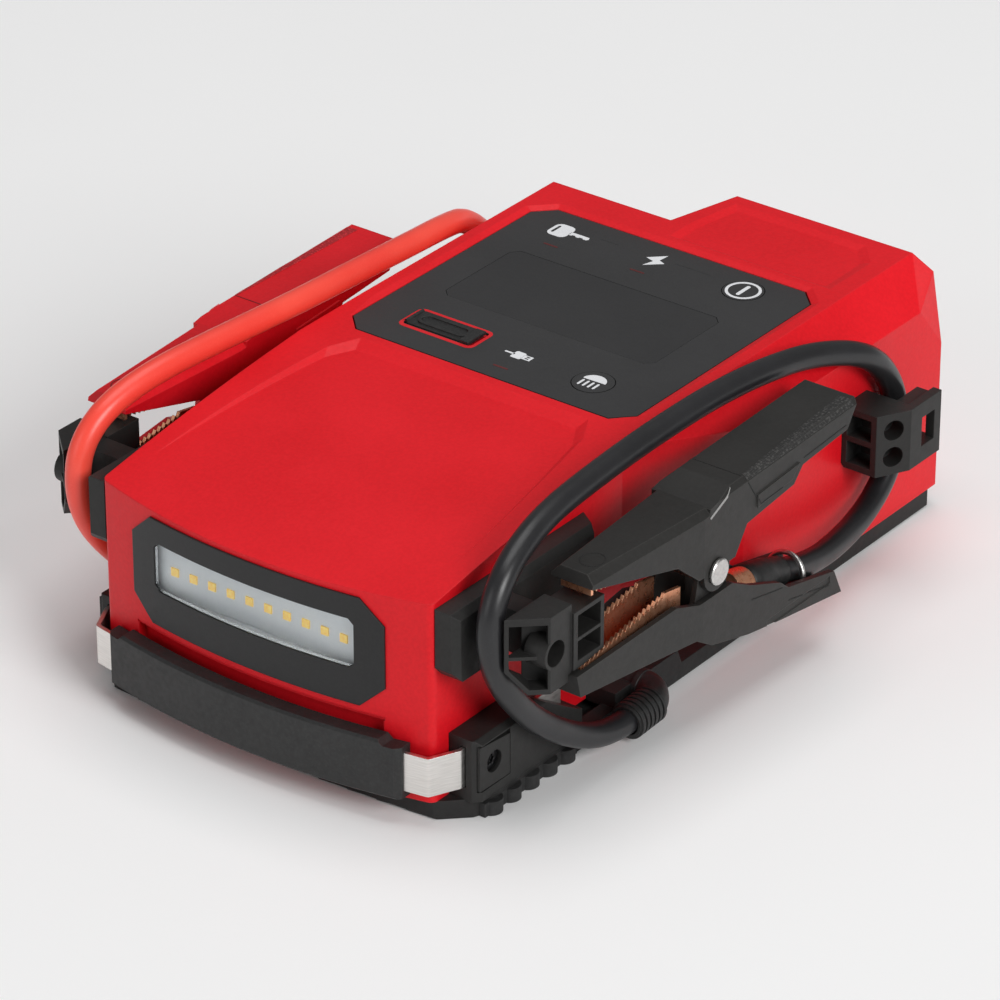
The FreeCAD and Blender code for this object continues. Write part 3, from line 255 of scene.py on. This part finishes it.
COPPER = metal("copper", (0.86, 0.36, 0.19), (0.97, 0.50, 0.31), (0.24, 0.38), scale=500.0,
               tarnish=(0.68, 0.26, 0.13), metallic=0.85)
BUSBAR = metal("busbar_metal", (0.62, 0.40, 0.24), (0.76, 0.52, 0.32), (0.3, 0.45), tarnish=(0.45, 0.25, 0.14))
SOCKET = metal("socket_metal", (0.58, 0.58, 0.59), (0.72, 0.72, 0.73), (0.25, 0.38), scale=900.0)
SINK = metal("sink_aluminium", (0.60, 0.61, 0.62), (0.72, 0.73, 0.74), (0.34, 0.5), brush=(1.0, 12.0, 1.0))
TRAY = moulded("tray_white", (0.80, 0.82, 0.84), (0.88, 0.90, 0.91), (0.4, 0.52), grain=1600.0, depth=0.00001)
BOARD_WHITE = moulded("board_white", (0.82, 0.84, 0.86), (0.90, 0.91, 0.92), (0.45, 0.6), grain=1600.0,
                      depth=0.00001)
CELL = moulded("cell_sleeve", (0.05, 0.10, 0.24), (0.08, 0.15, 0.32), (0.22, 0.34), grain=900.0, depth=0.00001)
HOLDER = moulded("holder_grey", (0.17, 0.17, 0.18), (0.23, 0.23, 0.24), (0.5, 0.6), grain=900.0)
PCB = moulded("board_green", (0.015, 0.13, 0.055), (0.03, 0.19, 0.08), (0.25, 0.4), grain=1300.0, depth=0.00001)
RELAY = moulded("relay_dark", (0.035, 0.036, 0.042), (0.05, 0.052, 0.06), (0.35, 0.5))
RELIEF = rubber("relief_black", (0.012, 0.012, 0.012), (0.019, 0.019, 0.019), (0.42, 0.58))


def jacket(name, deep, pale, rough, specular):
    """Extruded cable jacket: smooth, slightly waxy, with faint long draw marks."""
    g = Graph(name)
    wave = g.noise(28.0, 3.0)
    colour = g.mix(g.remap(wave, 0.3, 0.7, 0.0, 1.0), deep, pale)
    speck = g.remap(g.noise(1500.0, 2.0), 0.5, 0.8, 0.0, 0.3)
    colour = g.mix(speck, colour, tuple(min(1.0, c * 1.3 + 0.01) for c in pale))
    g.link(colour, g.bsdf.inputs["Base Color"])
    g.link(g.remap(g.noise(90.0, 4.0), 0.3, 0.7, rough[0], rough[1]), g.bsdf.inputs["Roughness"])
    g.link(g.bump(g.noise(650.0, 3.0), 0.00002), g.bsdf.inputs["Normal"])
    g.bsdf.inputs["Specular IOR Level"].default_value = specular
    return g.mat


CABLE_BLACK = jacket("cable_black", (0.011, 0.011, 0.012), (0.017, 0.017, 0.019), (0.30, 0.42), 0.5)
CABLE_RED = jacket("cable_red", (0.87, 0.048, 0.033), (0.95, 0.085, 0.055), (0.28, 0.4), 0.5)


def stippled(name, deep, pale):
    """Grip texture: coarse raised pebbles on the clamp's squeeze faces, with painted shade between the pebbles and
    a painted highlight on their tops.
    """
    g = Graph(name)
    pebble = g.cells(900.0, feature="F1")
    lift = g.remap(pebble, 0.05, 0.5, 1.0, 0.0)
    # Painted shade and highlight: darker in the hollows between pebbles, paler on their raised tops.
    colour = g.mix(g.math("MULTIPLY", lift, 0.8), deep, pale)
    # Painted highlight and wear: paler along the rounded edges.
    edge_mask_highlight_wear, normal = g.edges(0.0003)
    g.link(g.mix(g.math("MULTIPLY", edge_mask_highlight_wear, 0.4), colour, tuple(min(1.0, c * 1.3 + 0.01) for c in pale)),
           g.bsdf.inputs["Base Color"])
    g.link(g.remap(lift, 0.0, 1.0, 0.7, 0.42), g.bsdf.inputs["Roughness"])
    g.link(g.bump(lift, 0.00018, normal), g.bsdf.inputs["Normal"])
    return g.mat


# The deep tone is the painted shade between pebbles and the pale tone the painted highlight on their tops.
STIPPLE_BLACK = stippled("stipple_black", (0.014, 0.0135, 0.013), (0.085, 0.082, 0.078))
STIPPLE_RED = stippled("stipple_red", (0.34, 0.004, 0.008), (0.78, 0.02, 0.035))


def clear_glass():
    g = Graph("lens_clear")
    g.bsdf.inputs["Base Color"].default_value = (0.95, 0.975, 0.985, 1)
    haze = g.remap(g.noise(300.0, 3.0), 0.3, 0.7, 0.03, 0.08)
    g.link(haze, g.bsdf.inputs["Roughness"])
    g.link(g.bump(g.noise(120.0, 2.0), 0.000006), g.bsdf.inputs["Normal"])
    g.bsdf.inputs["IOR"].default_value = 1.18
    g.bsdf.inputs["Transmission Weight"].default_value = 1.0
    return g.mat


LENS = clear_glass()


def led_material():
    g = Graph("led_yellow")
    dome = g.noise(700.0, 3.0)
    g.link(g.mix(g.remap(dome, 0.3, 0.7, 0.0, 1.0), (0.92, 0.56, 0.10), (1.0, 0.72, 0.22)),
           g.bsdf.inputs["Base Color"])
    g.link(g.remap(dome, 0.3, 0.7, 0.25, 0.4), g.bsdf.inputs["Roughness"])
    g.link(g.bump(dome, 0.00002), g.bsdf.inputs["Normal"])
    g.bsdf.inputs["Emission Color"].default_value = (1.0, 0.66, 0.2, 1)
    g.bsdf.inputs["Emission Strength"].default_value = 0.25
    return g.mat


LED = led_material()

FINISH = {
    "upper_housing": RED, "base_tray": BASE, "handle_grip": GRIP, "light_bezel": BEZEL, "light_lens": LENS,
    "light_tray": TRAY, "led_board": BOARD_WHITE, "led_chips": LED, "control_panel": PANEL,
    "display_window": GLASS, "power_button": KEY, "light_button": KEY, "usb_cover": GRIP, "usb_socket": SOCKET,
    "panel_board": PCB, "key_switches": RELAY, "storage_cells": CELL, "cell_holder": HOLDER,
    "cell_busbars": BUSBAR, "main_board": PCB, "power_relays": RELAY, "heat_sink": SINK,
    "terminal_studs": BUSBAR, "battery_dock": BLACK, "dock_contacts": BUSBAR, "housing_screws": SCREW,
}
ENDINGS = {
    "_handle_strap": STEEL, "_tread": TREAD, "_slot_screw": SCREW, "_bumper": BLACK, "_slot_cover": BLACK,
    "_side_rail": BLACK, "_cleat": BLACK, "_jaw": COPPER, "_pivot_pin": PIN_STEEL, "_cable_ring": PIN_STEEL,
    "_spring": SPRING, "_strain_relief": RELIEF,
}


def finish_of(name):
    if name in FINISH:
        return FINISH[name]
    if name.endswith("_arm"):
        return CLAMP_BLACK if name.startswith("black") else CLAMP_RED
    for ending, material in ENDINGS.items():
        if name.endswith(ending):
            return material
    return CABLE_RED if name.startswith("red") else CABLE_BLACK


for name, o in nodes.items():
    o.data.materials.clear()
    o.data.materials.append(finish_of(name))


# ------------------------------------------------------------------ piece helpers
def add(name, bm, material, body, bevel=0.0, segments=2, smooth=False):
    mesh = bpy.data.meshes.new(name)
    bmesh.ops.recalc_face_normals(bm, faces=bm.faces)
    bm.to_mesh(mesh)
    bm.free()
    o = bpy.data.objects.new(name, mesh)
    scene.collection.objects.link(o)
    mesh.materials.append(material)
    if smooth:
        for p in mesh.polygons:
            p.use_smooth = True
    if bevel:
        m = o.modifiers.new("soften", "BEVEL")
        m.width = bevel
        m.segments = segments
        m.limit_method = "ANGLE"
        m.angle_limit = math.radians(35)
    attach(o, body)
    return o


def slab(bm, corners, lower, upper):
    """A closed solid over a ring of corners in millimetres, between two offsets from it."""
    low = [bm.verts.new((Vector(c) + Vector(lower)) * MM) for c in corners]
    high = [bm.verts.new((Vector(c) + Vector(upper)) * MM) for c in corners]
    bm.faces.new(low)
    bm.faces.new(high[::-1])
    for i in range(len(corners)):
        j = (i + 1) % len(corners)
        bm.faces.new((low[i], low[j], high[j], high[i]))


def prism(bm, outline, low, high):
    """An outline in the XY plane, made solid from low to high."""
    slab(bm, [(x, y, 0.0) for x, y in outline], (0, 0, low), (0, 0, high))


def skin(bm, rings):
    """Quads between rings of equal length, or triangles to a last ring of one vertex."""
    for lower, upper in zip(rings, rings[1:]):
        for k in range(len(lower)):
            j = (k + 1) % len(lower)
            if len(upper) == 1:
                bm.faces.new((lower[k], lower[j], upper[0]))
            else:
                bm.faces.new((lower[k], lower[j], upper[j], upper[k]))


def frame_prism(bm, outer, inner, low, high):
    """A closed band between two outlines with the same number of corners, in the XY plane."""
    rings = []
    for outline in (outer, inner):
        for z in (low, high):
            rings.append([bm.verts.new((x * MM, y * MM, z * MM)) for x, y in outline])
    out_low, out_high, in_low, in_high = rings
    n = len(outer)
    for i in range(n):
        j = (i + 1) % n
        bm.faces.new((out_low[i], out_low[j], out_high[j], out_high[i]))
        bm.faces.new((in_low[j], in_low[i], in_high[i], in_high[j]))
        bm.faces.new((out_high[i], out_high[j], in_high[j], in_high[i]))
        bm.faces.new((out_low[j], out_low[i], in_low[i], in_low[j]))


def round_rect(x0, x1, y0, y1, r, steps=6):
    points = []
    for cx, cy, start in ((x1 - r, y1 - r, 0), (x0 + r, y1 - r, 90), (x0 + r, y0 + r, 180), (x1 - r, y0 + r, 270)):
        for k in range(steps + 1):
            a = math.radians(start + 90.0 * k / steps)
            points.append((cx + r * math.cos(a), cy + r * math.sin(a)))
    return points


def circle(cx, cy, r, steps=40):
    return [(cx + r * math.cos(2 * math.pi * k / steps), cy + r * math.sin(2 * math.pi * k / steps))
            for k in range(steps)]


def stroke(a, b, width, steps=6):
    """A round-ended bar from a to b."""
    ax, ay = a
    bx, by = b
    turn = math.atan2(by - ay, bx - ax)
    points = []
    for cx, cy, start in ((bx, by, turn - math.pi / 2), (ax, ay, turn + math.pi / 2)):
        for k in range(steps + 1):
            t = start + math.pi * k / steps
            points.append((cx + width / 2 * math.cos(t), cy + width / 2 * math.sin(t)))
    return points


# ------------------------------------------------------------------ cables
BLACK_ROUTE = [
    (0.0916, -0.04505, 0.00900), (0.0916, -0.05905, 0.00844), (0.0906, -0.07505, 0.01200),
    (0.0889, -0.09325, 0.02340), (0.0881, -0.10935, 0.03850), (0.0880, -0.12155, 0.05530),
    (0.0875, -0.12605, 0.07030), (0.0874, -0.12365, 0.08480), (0.0859, -0.11195, 0.09540),
    (0.0828, -0.08985, 0.10080), (0.0799, -0.05665, 0.10100), (0.0776, -0.02105, 0.10020),
    (0.0770, 0.01495, 0.09920), (0.0782, 0.04495, 0.09680), (0.0815, 0.06895, 0.09350),
    (0.0880, 0.09095, 0.08650), (0.0875, 0.10745, 0.06950), (0.0874, 0.11335, 0.04900),
    (0.0882, 0.10615, 0.03210), (0.0908, 0.08685, 0.02370), (0.0962, 0.05795, 0.02500),
    (0.0986, 0.03795, 0.02900), (0.0990, 0.01695, 0.03590), (0.0990, -0.00745, 0.04110),
]
RED_ROUTE = [(-x, y, z) for x, y, z in BLACK_ROUTE]


def cable(name, route, material, node):
    curve = bpy.data.curves.new(name, "CURVE")
    curve.dimensions = "3D"
    spline = curve.splines.new("NURBS")
    spline.points.add(len(route) - 1)
    for point, place in zip(spline.points, route):
        point.co = (*place, 1.0)
    spline.order_u = 3
    spline.use_endpoint_u = True
    curve.resolution_u = 14
    curve.bevel_depth = CABLE_RADIUS
    curve.bevel_resolution = 7
    curve.use_fill_caps = True
    curve.materials.append(material)
    o = bpy.data.objects.new(name, curve)
    scene.collection.objects.link(o)
    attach(o, "pack")
    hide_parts(node)


cable("black_booster_cable", BLACK_ROUTE, CABLE_BLACK, "black_cable")
cable("red_booster_cable", RED_ROUTE, CABLE_RED, "red_cable")

# ------------------------------------------------------------------ printed icons on the control panel
top = PANEL_TOP
INK_T = 0.06


def printed(name, outlines, base, material, body="pack", thick=INK_T):
    bm = bmesh.new()
    for outline in outlines:
        prism(bm, outline, base, base + thick)
    return add(name, bm, material, body)


def printed_ring(name, outer, inner, base, material, body="pack", thick=INK_T):
    bm = bmesh.new()
    frame_prism(bm, outer, inner, base, base + thick)
    return add(name, bm, material, body)


power_lo, power_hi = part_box("power_button")
px, py = [(a + b) / 2 / MM for a, b in zip(power_lo, power_hi)][:2]
pz = power_hi.z / MM
printed_ring("power_icon_ring", circle(px, py, 6.55, 48), circle(px, py, 5.45, 48), pz, INK, "power_key")
printed("power_icon_bar", [stroke((px, py - 3.3), (px, py + 3.3), 1.5)], pz, INK, "power_key")

lamp_lo, lamp_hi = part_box("light_button")
lx, ly = [(a + b) / 2 / MM for a, b in zip(lamp_lo, lamp_hi)][:2]
lz = lamp_hi.z / MM
dome = [(lx - 4.6, ly + 0.6)]
for degrees in range(172, -1, -8):
    turn = math.radians(degrees)
    dome.append((lx - 0.2 + 4.6 * math.cos(turn), ly + 0.6 + 4.3 * math.sin(turn)))
rays = [stroke((lx - 3.6 + 2.1 * k, ly - 0.6), (lx - 3.6 + 2.1 * k, ly - 3.9), 0.85) for k in range(4)]
printed("lamp_icon", [dome] + rays, lz, INK, "light_key")

bolt = [(-3.9, 84.2), (-2.5, 88.8), (-6.2, 89.9), (-0.5, 95.3), (-1.0, 90.6), (2.0, 89.4)]
printed("charge_icon", [bolt], top, INK)
head = round_rect(-47.2, -39.0, 84.0, 93.4, 2.6)
shaft = [(-39.2, 87.6), (-38.0, 87.6), (-37.6, 88.2), (-36.4, 88.2), (-36.0, 87.6), (-34.8, 87.6), (-34.4, 88.2),
         (-33.2, 88.2), (-32.8, 87.7), (-31.4, 87.7), (-30.8, 88.7), (-31.4, 89.9), (-39.2, 89.9)]
printed("ignition_icon", [head, shaft], top, INK)
printed("ignition_icon_slot", [round_rect(-45.9, -44.9, 85.9, 91.5, 0.4)], top + INK_T, KEY)
plug = [round_rect(0.6, 4.8, 0.0, 4.8, 0.7), [(4.7, 0.9), (8.3, 0.9), (8.3, 3.9), (4.7, 3.9)],
        stroke((0.8, 2.4), (-2.6, 2.4), 0.9)]
printed("data_port_icon", plug, top, INK)
printed("data_port_icon_pads", [[(5.9, 1.5), (7.4, 1.5), (7.4, 2.1), (5.9, 2.1)],
                                [(5.9, 2.7), (7.4, 2.7), (7.4, 3.3), (5.9, 3.3)]], top + INK_T, KEY)
for k, (bx, by) in enumerate(((-39.1, 77.0), (-2.5, 79.0), (3.0, -8.2))):
    printed("indicator_%d" % k, [stroke((bx - 2.7, by), (bx + 2.7, by), 0.9)], top, DIM_RED)
printed_ring("port_outline", round_rect(-45.7, -13.1, -4.25, 10.65, 2.8),
             round_rect(-44.4, -14.4, -2.65, 9.35, 1.8), top, RED_INK)
# Painted shade: thin dark lines along the overlay's creases.
creases = [stroke((-27.5, 91.8), (-20.0, 91.8), 0.35), stroke((5.0, 92.0), (20.0, 92.0), 0.35)]
printed("overlay_creases", creases, top, CREASE_SHADE, thick=0.03)
printed("port_floor", [[(-20.0, -2.2), (-14.6, -2.2), (-14.6, 8.9), (-20.0, 8.9)]], 94.5, RED_INK, thick=0.15)


# ------------------------------------------------------------------ clamp details
TREES = {}
# Pale glossy strips laid on the arms' shoulders: a painted highlight along the chamfer.
CLAMP_EDGE_HIGHLIGHT = {
    "black": moulded("clamp_edge_black", (0.26, 0.255, 0.25), (0.36, 0.355, 0.345), (0.25, 0.36), grain=1200.0,
                     depth=0.000008),
    "red": moulded("clamp_edge_red", (0.80, 0.10, 0.11), (0.90, 0.18, 0.19), (0.25, 0.36), grain=1200.0,
                   depth=0.000008),
}
# Dark strips laid in the engraved lines and the nose ring: painted shade in the grooves.
GROOVE_SHADE = {
    "black": moulded("clamp_groove_black", (0.007, 0.007, 0.0065), (0.011, 0.0105, 0.010), (0.6, 0.75),
                     grain=900.0),
    "red": moulded("clamp_groove_red", (0.16, 0.002, 0.004), (0.22, 0.004, 0.006), (0.6, 0.75), grain=900.0),
}
STIPPLE = {"black": STIPPLE_BLACK, "red": STIPPLE_RED}
ARM = {"black": CLAMP_BLACK, "red": CLAMP_RED}

# the cable's last stretch as a quadratic curve, and the crimp boot's radius at places along it
CABLE_END = (Vector((98.8, 27.45, 32.45)), Vector((99.0, 16.95, 35.9)), Vector((99.0, -7.45, 41.1)))
BOOT_AT = (0.83, 0.82, 0.70, 0.58, 0.48, 0.46, 0.36, 0.22, 0.20)
BOOT_RADII = (5.9, 6.45, 6.45, 6.45, 6.4, 5.8, 5.7, 5.55, 5.1)


def surface(node, start, run):
    """Where a line from start along run first meets a node, all in millimetres."""
    if node not in TREES:
        mesh = nodes[node].data
        TREES[node] = BVHTree.FromPolygons([v.co[:] for v in mesh.vertices],
                                           [f.vertices[:] for f in mesh.polygons])
    place = TREES[node].ray_cast(Vector(start) * MM, Vector(run))[0]
    return place / MM if place else None


SUNK = 0.05          # how far a laid piece reaches below the surface it lies on
LAID_STEP = 1.2      # longest stretch between the spots where a laid strip is dropped on the surface
BAND_THICK = 0.16
BAND_ROWS = 42
BAND_COLUMNS = 5
BAND_START = -14.6
BAND_PITCH = 1.5


def laid_strip(bm, node, path, out, half, thick=0.12):
    """A thin strip that follows path over a node's surface, seen against the direction out."""
    out = Vector(out)
    spots = []
    for a, b in zip(path, path[1:]):
        a, b = Vector(a), Vector(b)
        parts = max(1, int((b - a).length / LAID_STEP))
        for k in range(parts + 1):
            spots.append(surface(node, a + (b - a) * (k / parts) + out * 30, -out))
    for a, b in zip(spots, spots[1:]):
        if a is None or b is None or (b - a).length < 0.05:
            continue
        side = (b - a).normalized().cross(out).normalized() * half
        slab(bm, (a + side, b + side, b - side, a - side), -out * SUNK, out * thick)


def laid(name, node, paths, out, half, material, body):
    bm = bmesh.new()
    for path in paths:
        laid_strip(bm, node, path, out, half)
    if not bm.faces:
        bm.free()
        return None
    return add(name, bm, material, body)


def tube(name, places, radii, material, body, steps=28):
    """A round sleeve through places, with its own radius at each."""
    bm = bmesh.new()
    rings = []
    for i, (place, r) in enumerate(zip(places, radii)):
        run = (Vector(places[min(i + 1, len(places) - 1)]) - Vector(places[max(i - 1, 0)])).normalized()
        across = run.cross(Vector((1, 0, 0))).normalized()
        other = run.cross(across)
        ring = []
        for k in range(steps):
            turn = 2 * math.pi * k / steps
            ring.append(bm.verts.new((Vector(place) + across * (r * math.cos(turn))
                                      + other * (r * math.sin(turn))) * MM))
        rings.append(ring)
    skin(bm, rings)
    bm.faces.new(rings[0])
    bm.faces.new(rings[-1][::-1])
    return add(name, bm, material, body, smooth=True)


def dome_at(name, centre, out, radius, height, material, body, steps=24, layers=6):
    """A low rounded boss standing on a point, facing the direction out along X."""
    bm = bmesh.new()
    rings = []
    for layer in range(layers + 1):
        tilt = math.pi / 2 * layer / layers
        r = radius * math.cos(tilt)
        rise = height * math.sin(tilt) * out
        if layer == layers:
            rings.append([bm.verts.new((Vector(centre) + Vector((rise, 0, 0))) * MM)])
            break
        rings.append([bm.verts.new((Vector(centre) + Vector((rise, r * math.cos(2 * math.pi * k / steps),
                                                             r * math.sin(2 * math.pi * k / steps)))) * MM)
                      for k in range(steps)])
    skin(bm, rings)
    bm.faces.new(rings[0])
    return add(name, bm, material, body, smooth=True)


for tone, sign in (("black", 1), ("red", -1)):
    upper, lower = tone + "_upper_arm", tone + "_lower_arm"
    upper_body, lower_body = tone + "_jaw", "pack"
    side_out = (sign, 0, 0)
    up = (0, 0, 1)

    def on_side(points):
        return [(sign * 100, y, z) for y, z in points]

    # Painted highlight: a pale strip along the shoulder chamfer.
    laid(tone + "_shoulder_edge", upper, [on_side([(-36.0, 84.9), (-23.2, 90.6)])], side_out, 0.5,
         CLAMP_EDGE_HIGHLIGHT[tone], upper_body)
    # Painted shade: dark strips in the engraved lines.
    laid(tone + "_pad_lines", upper, [on_side([(-14.2, 89.0), (-7.2, 78.2), (11.4, 79.0)]),
                                      on_side([(18.6, 84.2), (43.8, 85.6)])], side_out, 0.24,
         GROOVE_SHADE[tone], upper_body)
    laid(tone + "_lower_lines", lower, [on_side([(-10.6, 42.3), (7.9, 38.4)]),
                                        on_side([(11.8, 31.9), (36.4, 26.2)])], side_out, 0.24,
         GROOVE_SHADE[tone], lower_body)
    cross = [(sign * x, -15.4, 80.0) for x in (86.0, 92.0, 98.0, 104.0, 110.2)]
    laid(tone + "_cross_line", upper, [cross], up, 0.2, GROOVE_SHADE[tone], upper_body)
    bm = bmesh.new()
    for k in range(BAND_ROWS):
        y0, y1 = BAND_START + BAND_PITCH * k, BAND_START + BAND_PITCH * (k + 1)
        for m in range(BAND_COLUMNS):
            corners = []
            for y, e in ((y0, m), (y0, m + 1), (y1, m + 1), (y1, m)):
                inner = 108.4 - 3.8 * (y - BAND_START) / (BAND_ROWS * BAND_PITCH)
                across = inner + (110.75 - inner) * e / BAND_COLUMNS
                corners.append(surface(upper, (sign * across, y, 120.0), (0, 0, -1)))
            if any(c is None for c in corners):
                continue
            if max(c.z for c in corners) - min(c.z for c in corners) > 2.5:
                continue
            slab(bm, corners, (0, 0, -SUNK), (0, 0, BAND_THICK))
    bmesh.ops.remove_doubles(bm, verts=bm.verts[:], dist=0.000002)
    if bm.faces:
        add(tone + "_stipple_band", bm, STIPPLE[tone], upper_body)
    # Painted shade: a dark oval in the nose pad's groove.
    oval = []
    for k in range(33):
        turn = 2 * math.pi * k / 32
        oval.append((sign * (99.9 + 4.0 * math.cos(turn)), -86.5 + 4.6 * math.sin(turn), 80.0))
    laid(tone + "_nose_pad", upper, [oval], up, 0.22, GROOVE_SHADE[tone], upper_body)
    boss = surface(lower, (sign * 130, -25.7, 56.3), (-sign, 0, 0))
    if boss is not None:
        dome_at(tone + "_pivot_boss", boss - Vector((sign * 0.3, 0, 0)), sign, 2.5, 1.3, ARM[tone],
                lower_body)
    places = []
    for t in BOOT_AT:
        spot = CABLE_END[0] * (1 - t) ** 2 + CABLE_END[1] * (2 * t * (1 - t)) + CABLE_END[2] * t ** 2
        places.append((sign * spot.x, spot.y, spot.z))
    tube(tone + "_crimp_boot", places, BOOT_RADII, RELIEF, lower_body)


# ------------------------------------------------------------------ camera, light and floor
AZIMUTH = math.radians(37.2)
ELEVATION = math.radians(29.16)
forward = Vector((-math.sin(AZIMUTH) * math.cos(ELEVATION), math.cos(AZIMUTH) * math.cos(ELEVATION),
                  -math.sin(ELEVATION)))
target = Vector((-0.0434, 0.0527, 0.0006))
camera = bpy.data.objects.new("camera", bpy.data.cameras.new("camera"))
scene.collection.objects.link(camera)
camera.data.lens = 196.8
camera.data.sensor_width = 36.0
camera.data.clip_start = 0.05
camera.data.clip_end = 20.0
camera.location = target - forward * 1.985
camera.rotation_mode = "QUATERNION"
camera.rotation_quaternion = forward.to_track_quat("-Z", "Y")
scene.camera = camera


def area(name, place, aim, size, energy, colour=(1, 1, 1)):
    light = bpy.data.lights.new(name, "AREA")
    light.shape = "RECTANGLE"
    light.size, light.size_y = size
    light.energy = energy
    light.color = colour
    o = bpy.data.objects.new(name, light)
    scene.collection.objects.link(o)
    o.location = place
    o.rotation_mode = "QUATERNION"
    o.rotation_quaternion = (Vector(aim) - Vector(place)).to_track_quat("-Z", "Y")
    return o


area("overhead", (0.0, 0.5, 4.0), (0, 0, 0), (3.0, 3.0), 71.0)
area("key", (4.2, -1.2, 2.6), (0, 0, 0.05), (2.2, 2.2), 153.0)
area("front_fill", (-1.5, -4.5, 2.0), (0, 0, 0.05), (2.5, 2.5), 36.0)

world = bpy.data.worlds.new("studio")
scene.world = world
world.use_nodes = True
world.node_tree.nodes["Background"].inputs["Color"].default_value = (1.0, 1.0, 1.0, 1)
world.node_tree.nodes["Background"].inputs["Strength"].default_value = 0.2

bm = bmesh.new()
bmesh.ops.create_grid(bm, x_segments=1, y_segments=1, size=6.0)
floor_mesh = bpy.data.meshes.new("floor")
bm.to_mesh(floor_mesh)
bm.free()
floor = bpy.data.objects.new("floor", floor_mesh)
scene.collection.objects.link(floor)
pale = Graph("floor_paint")
pale.link(pale.mix(pale.noise(6.0), (0.93, 0.93, 0.93), (0.95, 0.95, 0.95)), pale.bsdf.inputs["Base Color"])
pale.bsdf.inputs["Roughness"].default_value = 0.9
pale.bsdf.inputs["Specular IOR Level"].default_value = 0.1
floor_mesh.materials.append(pale.mat)
floor.location.z = cad_lo.z - 0.0002
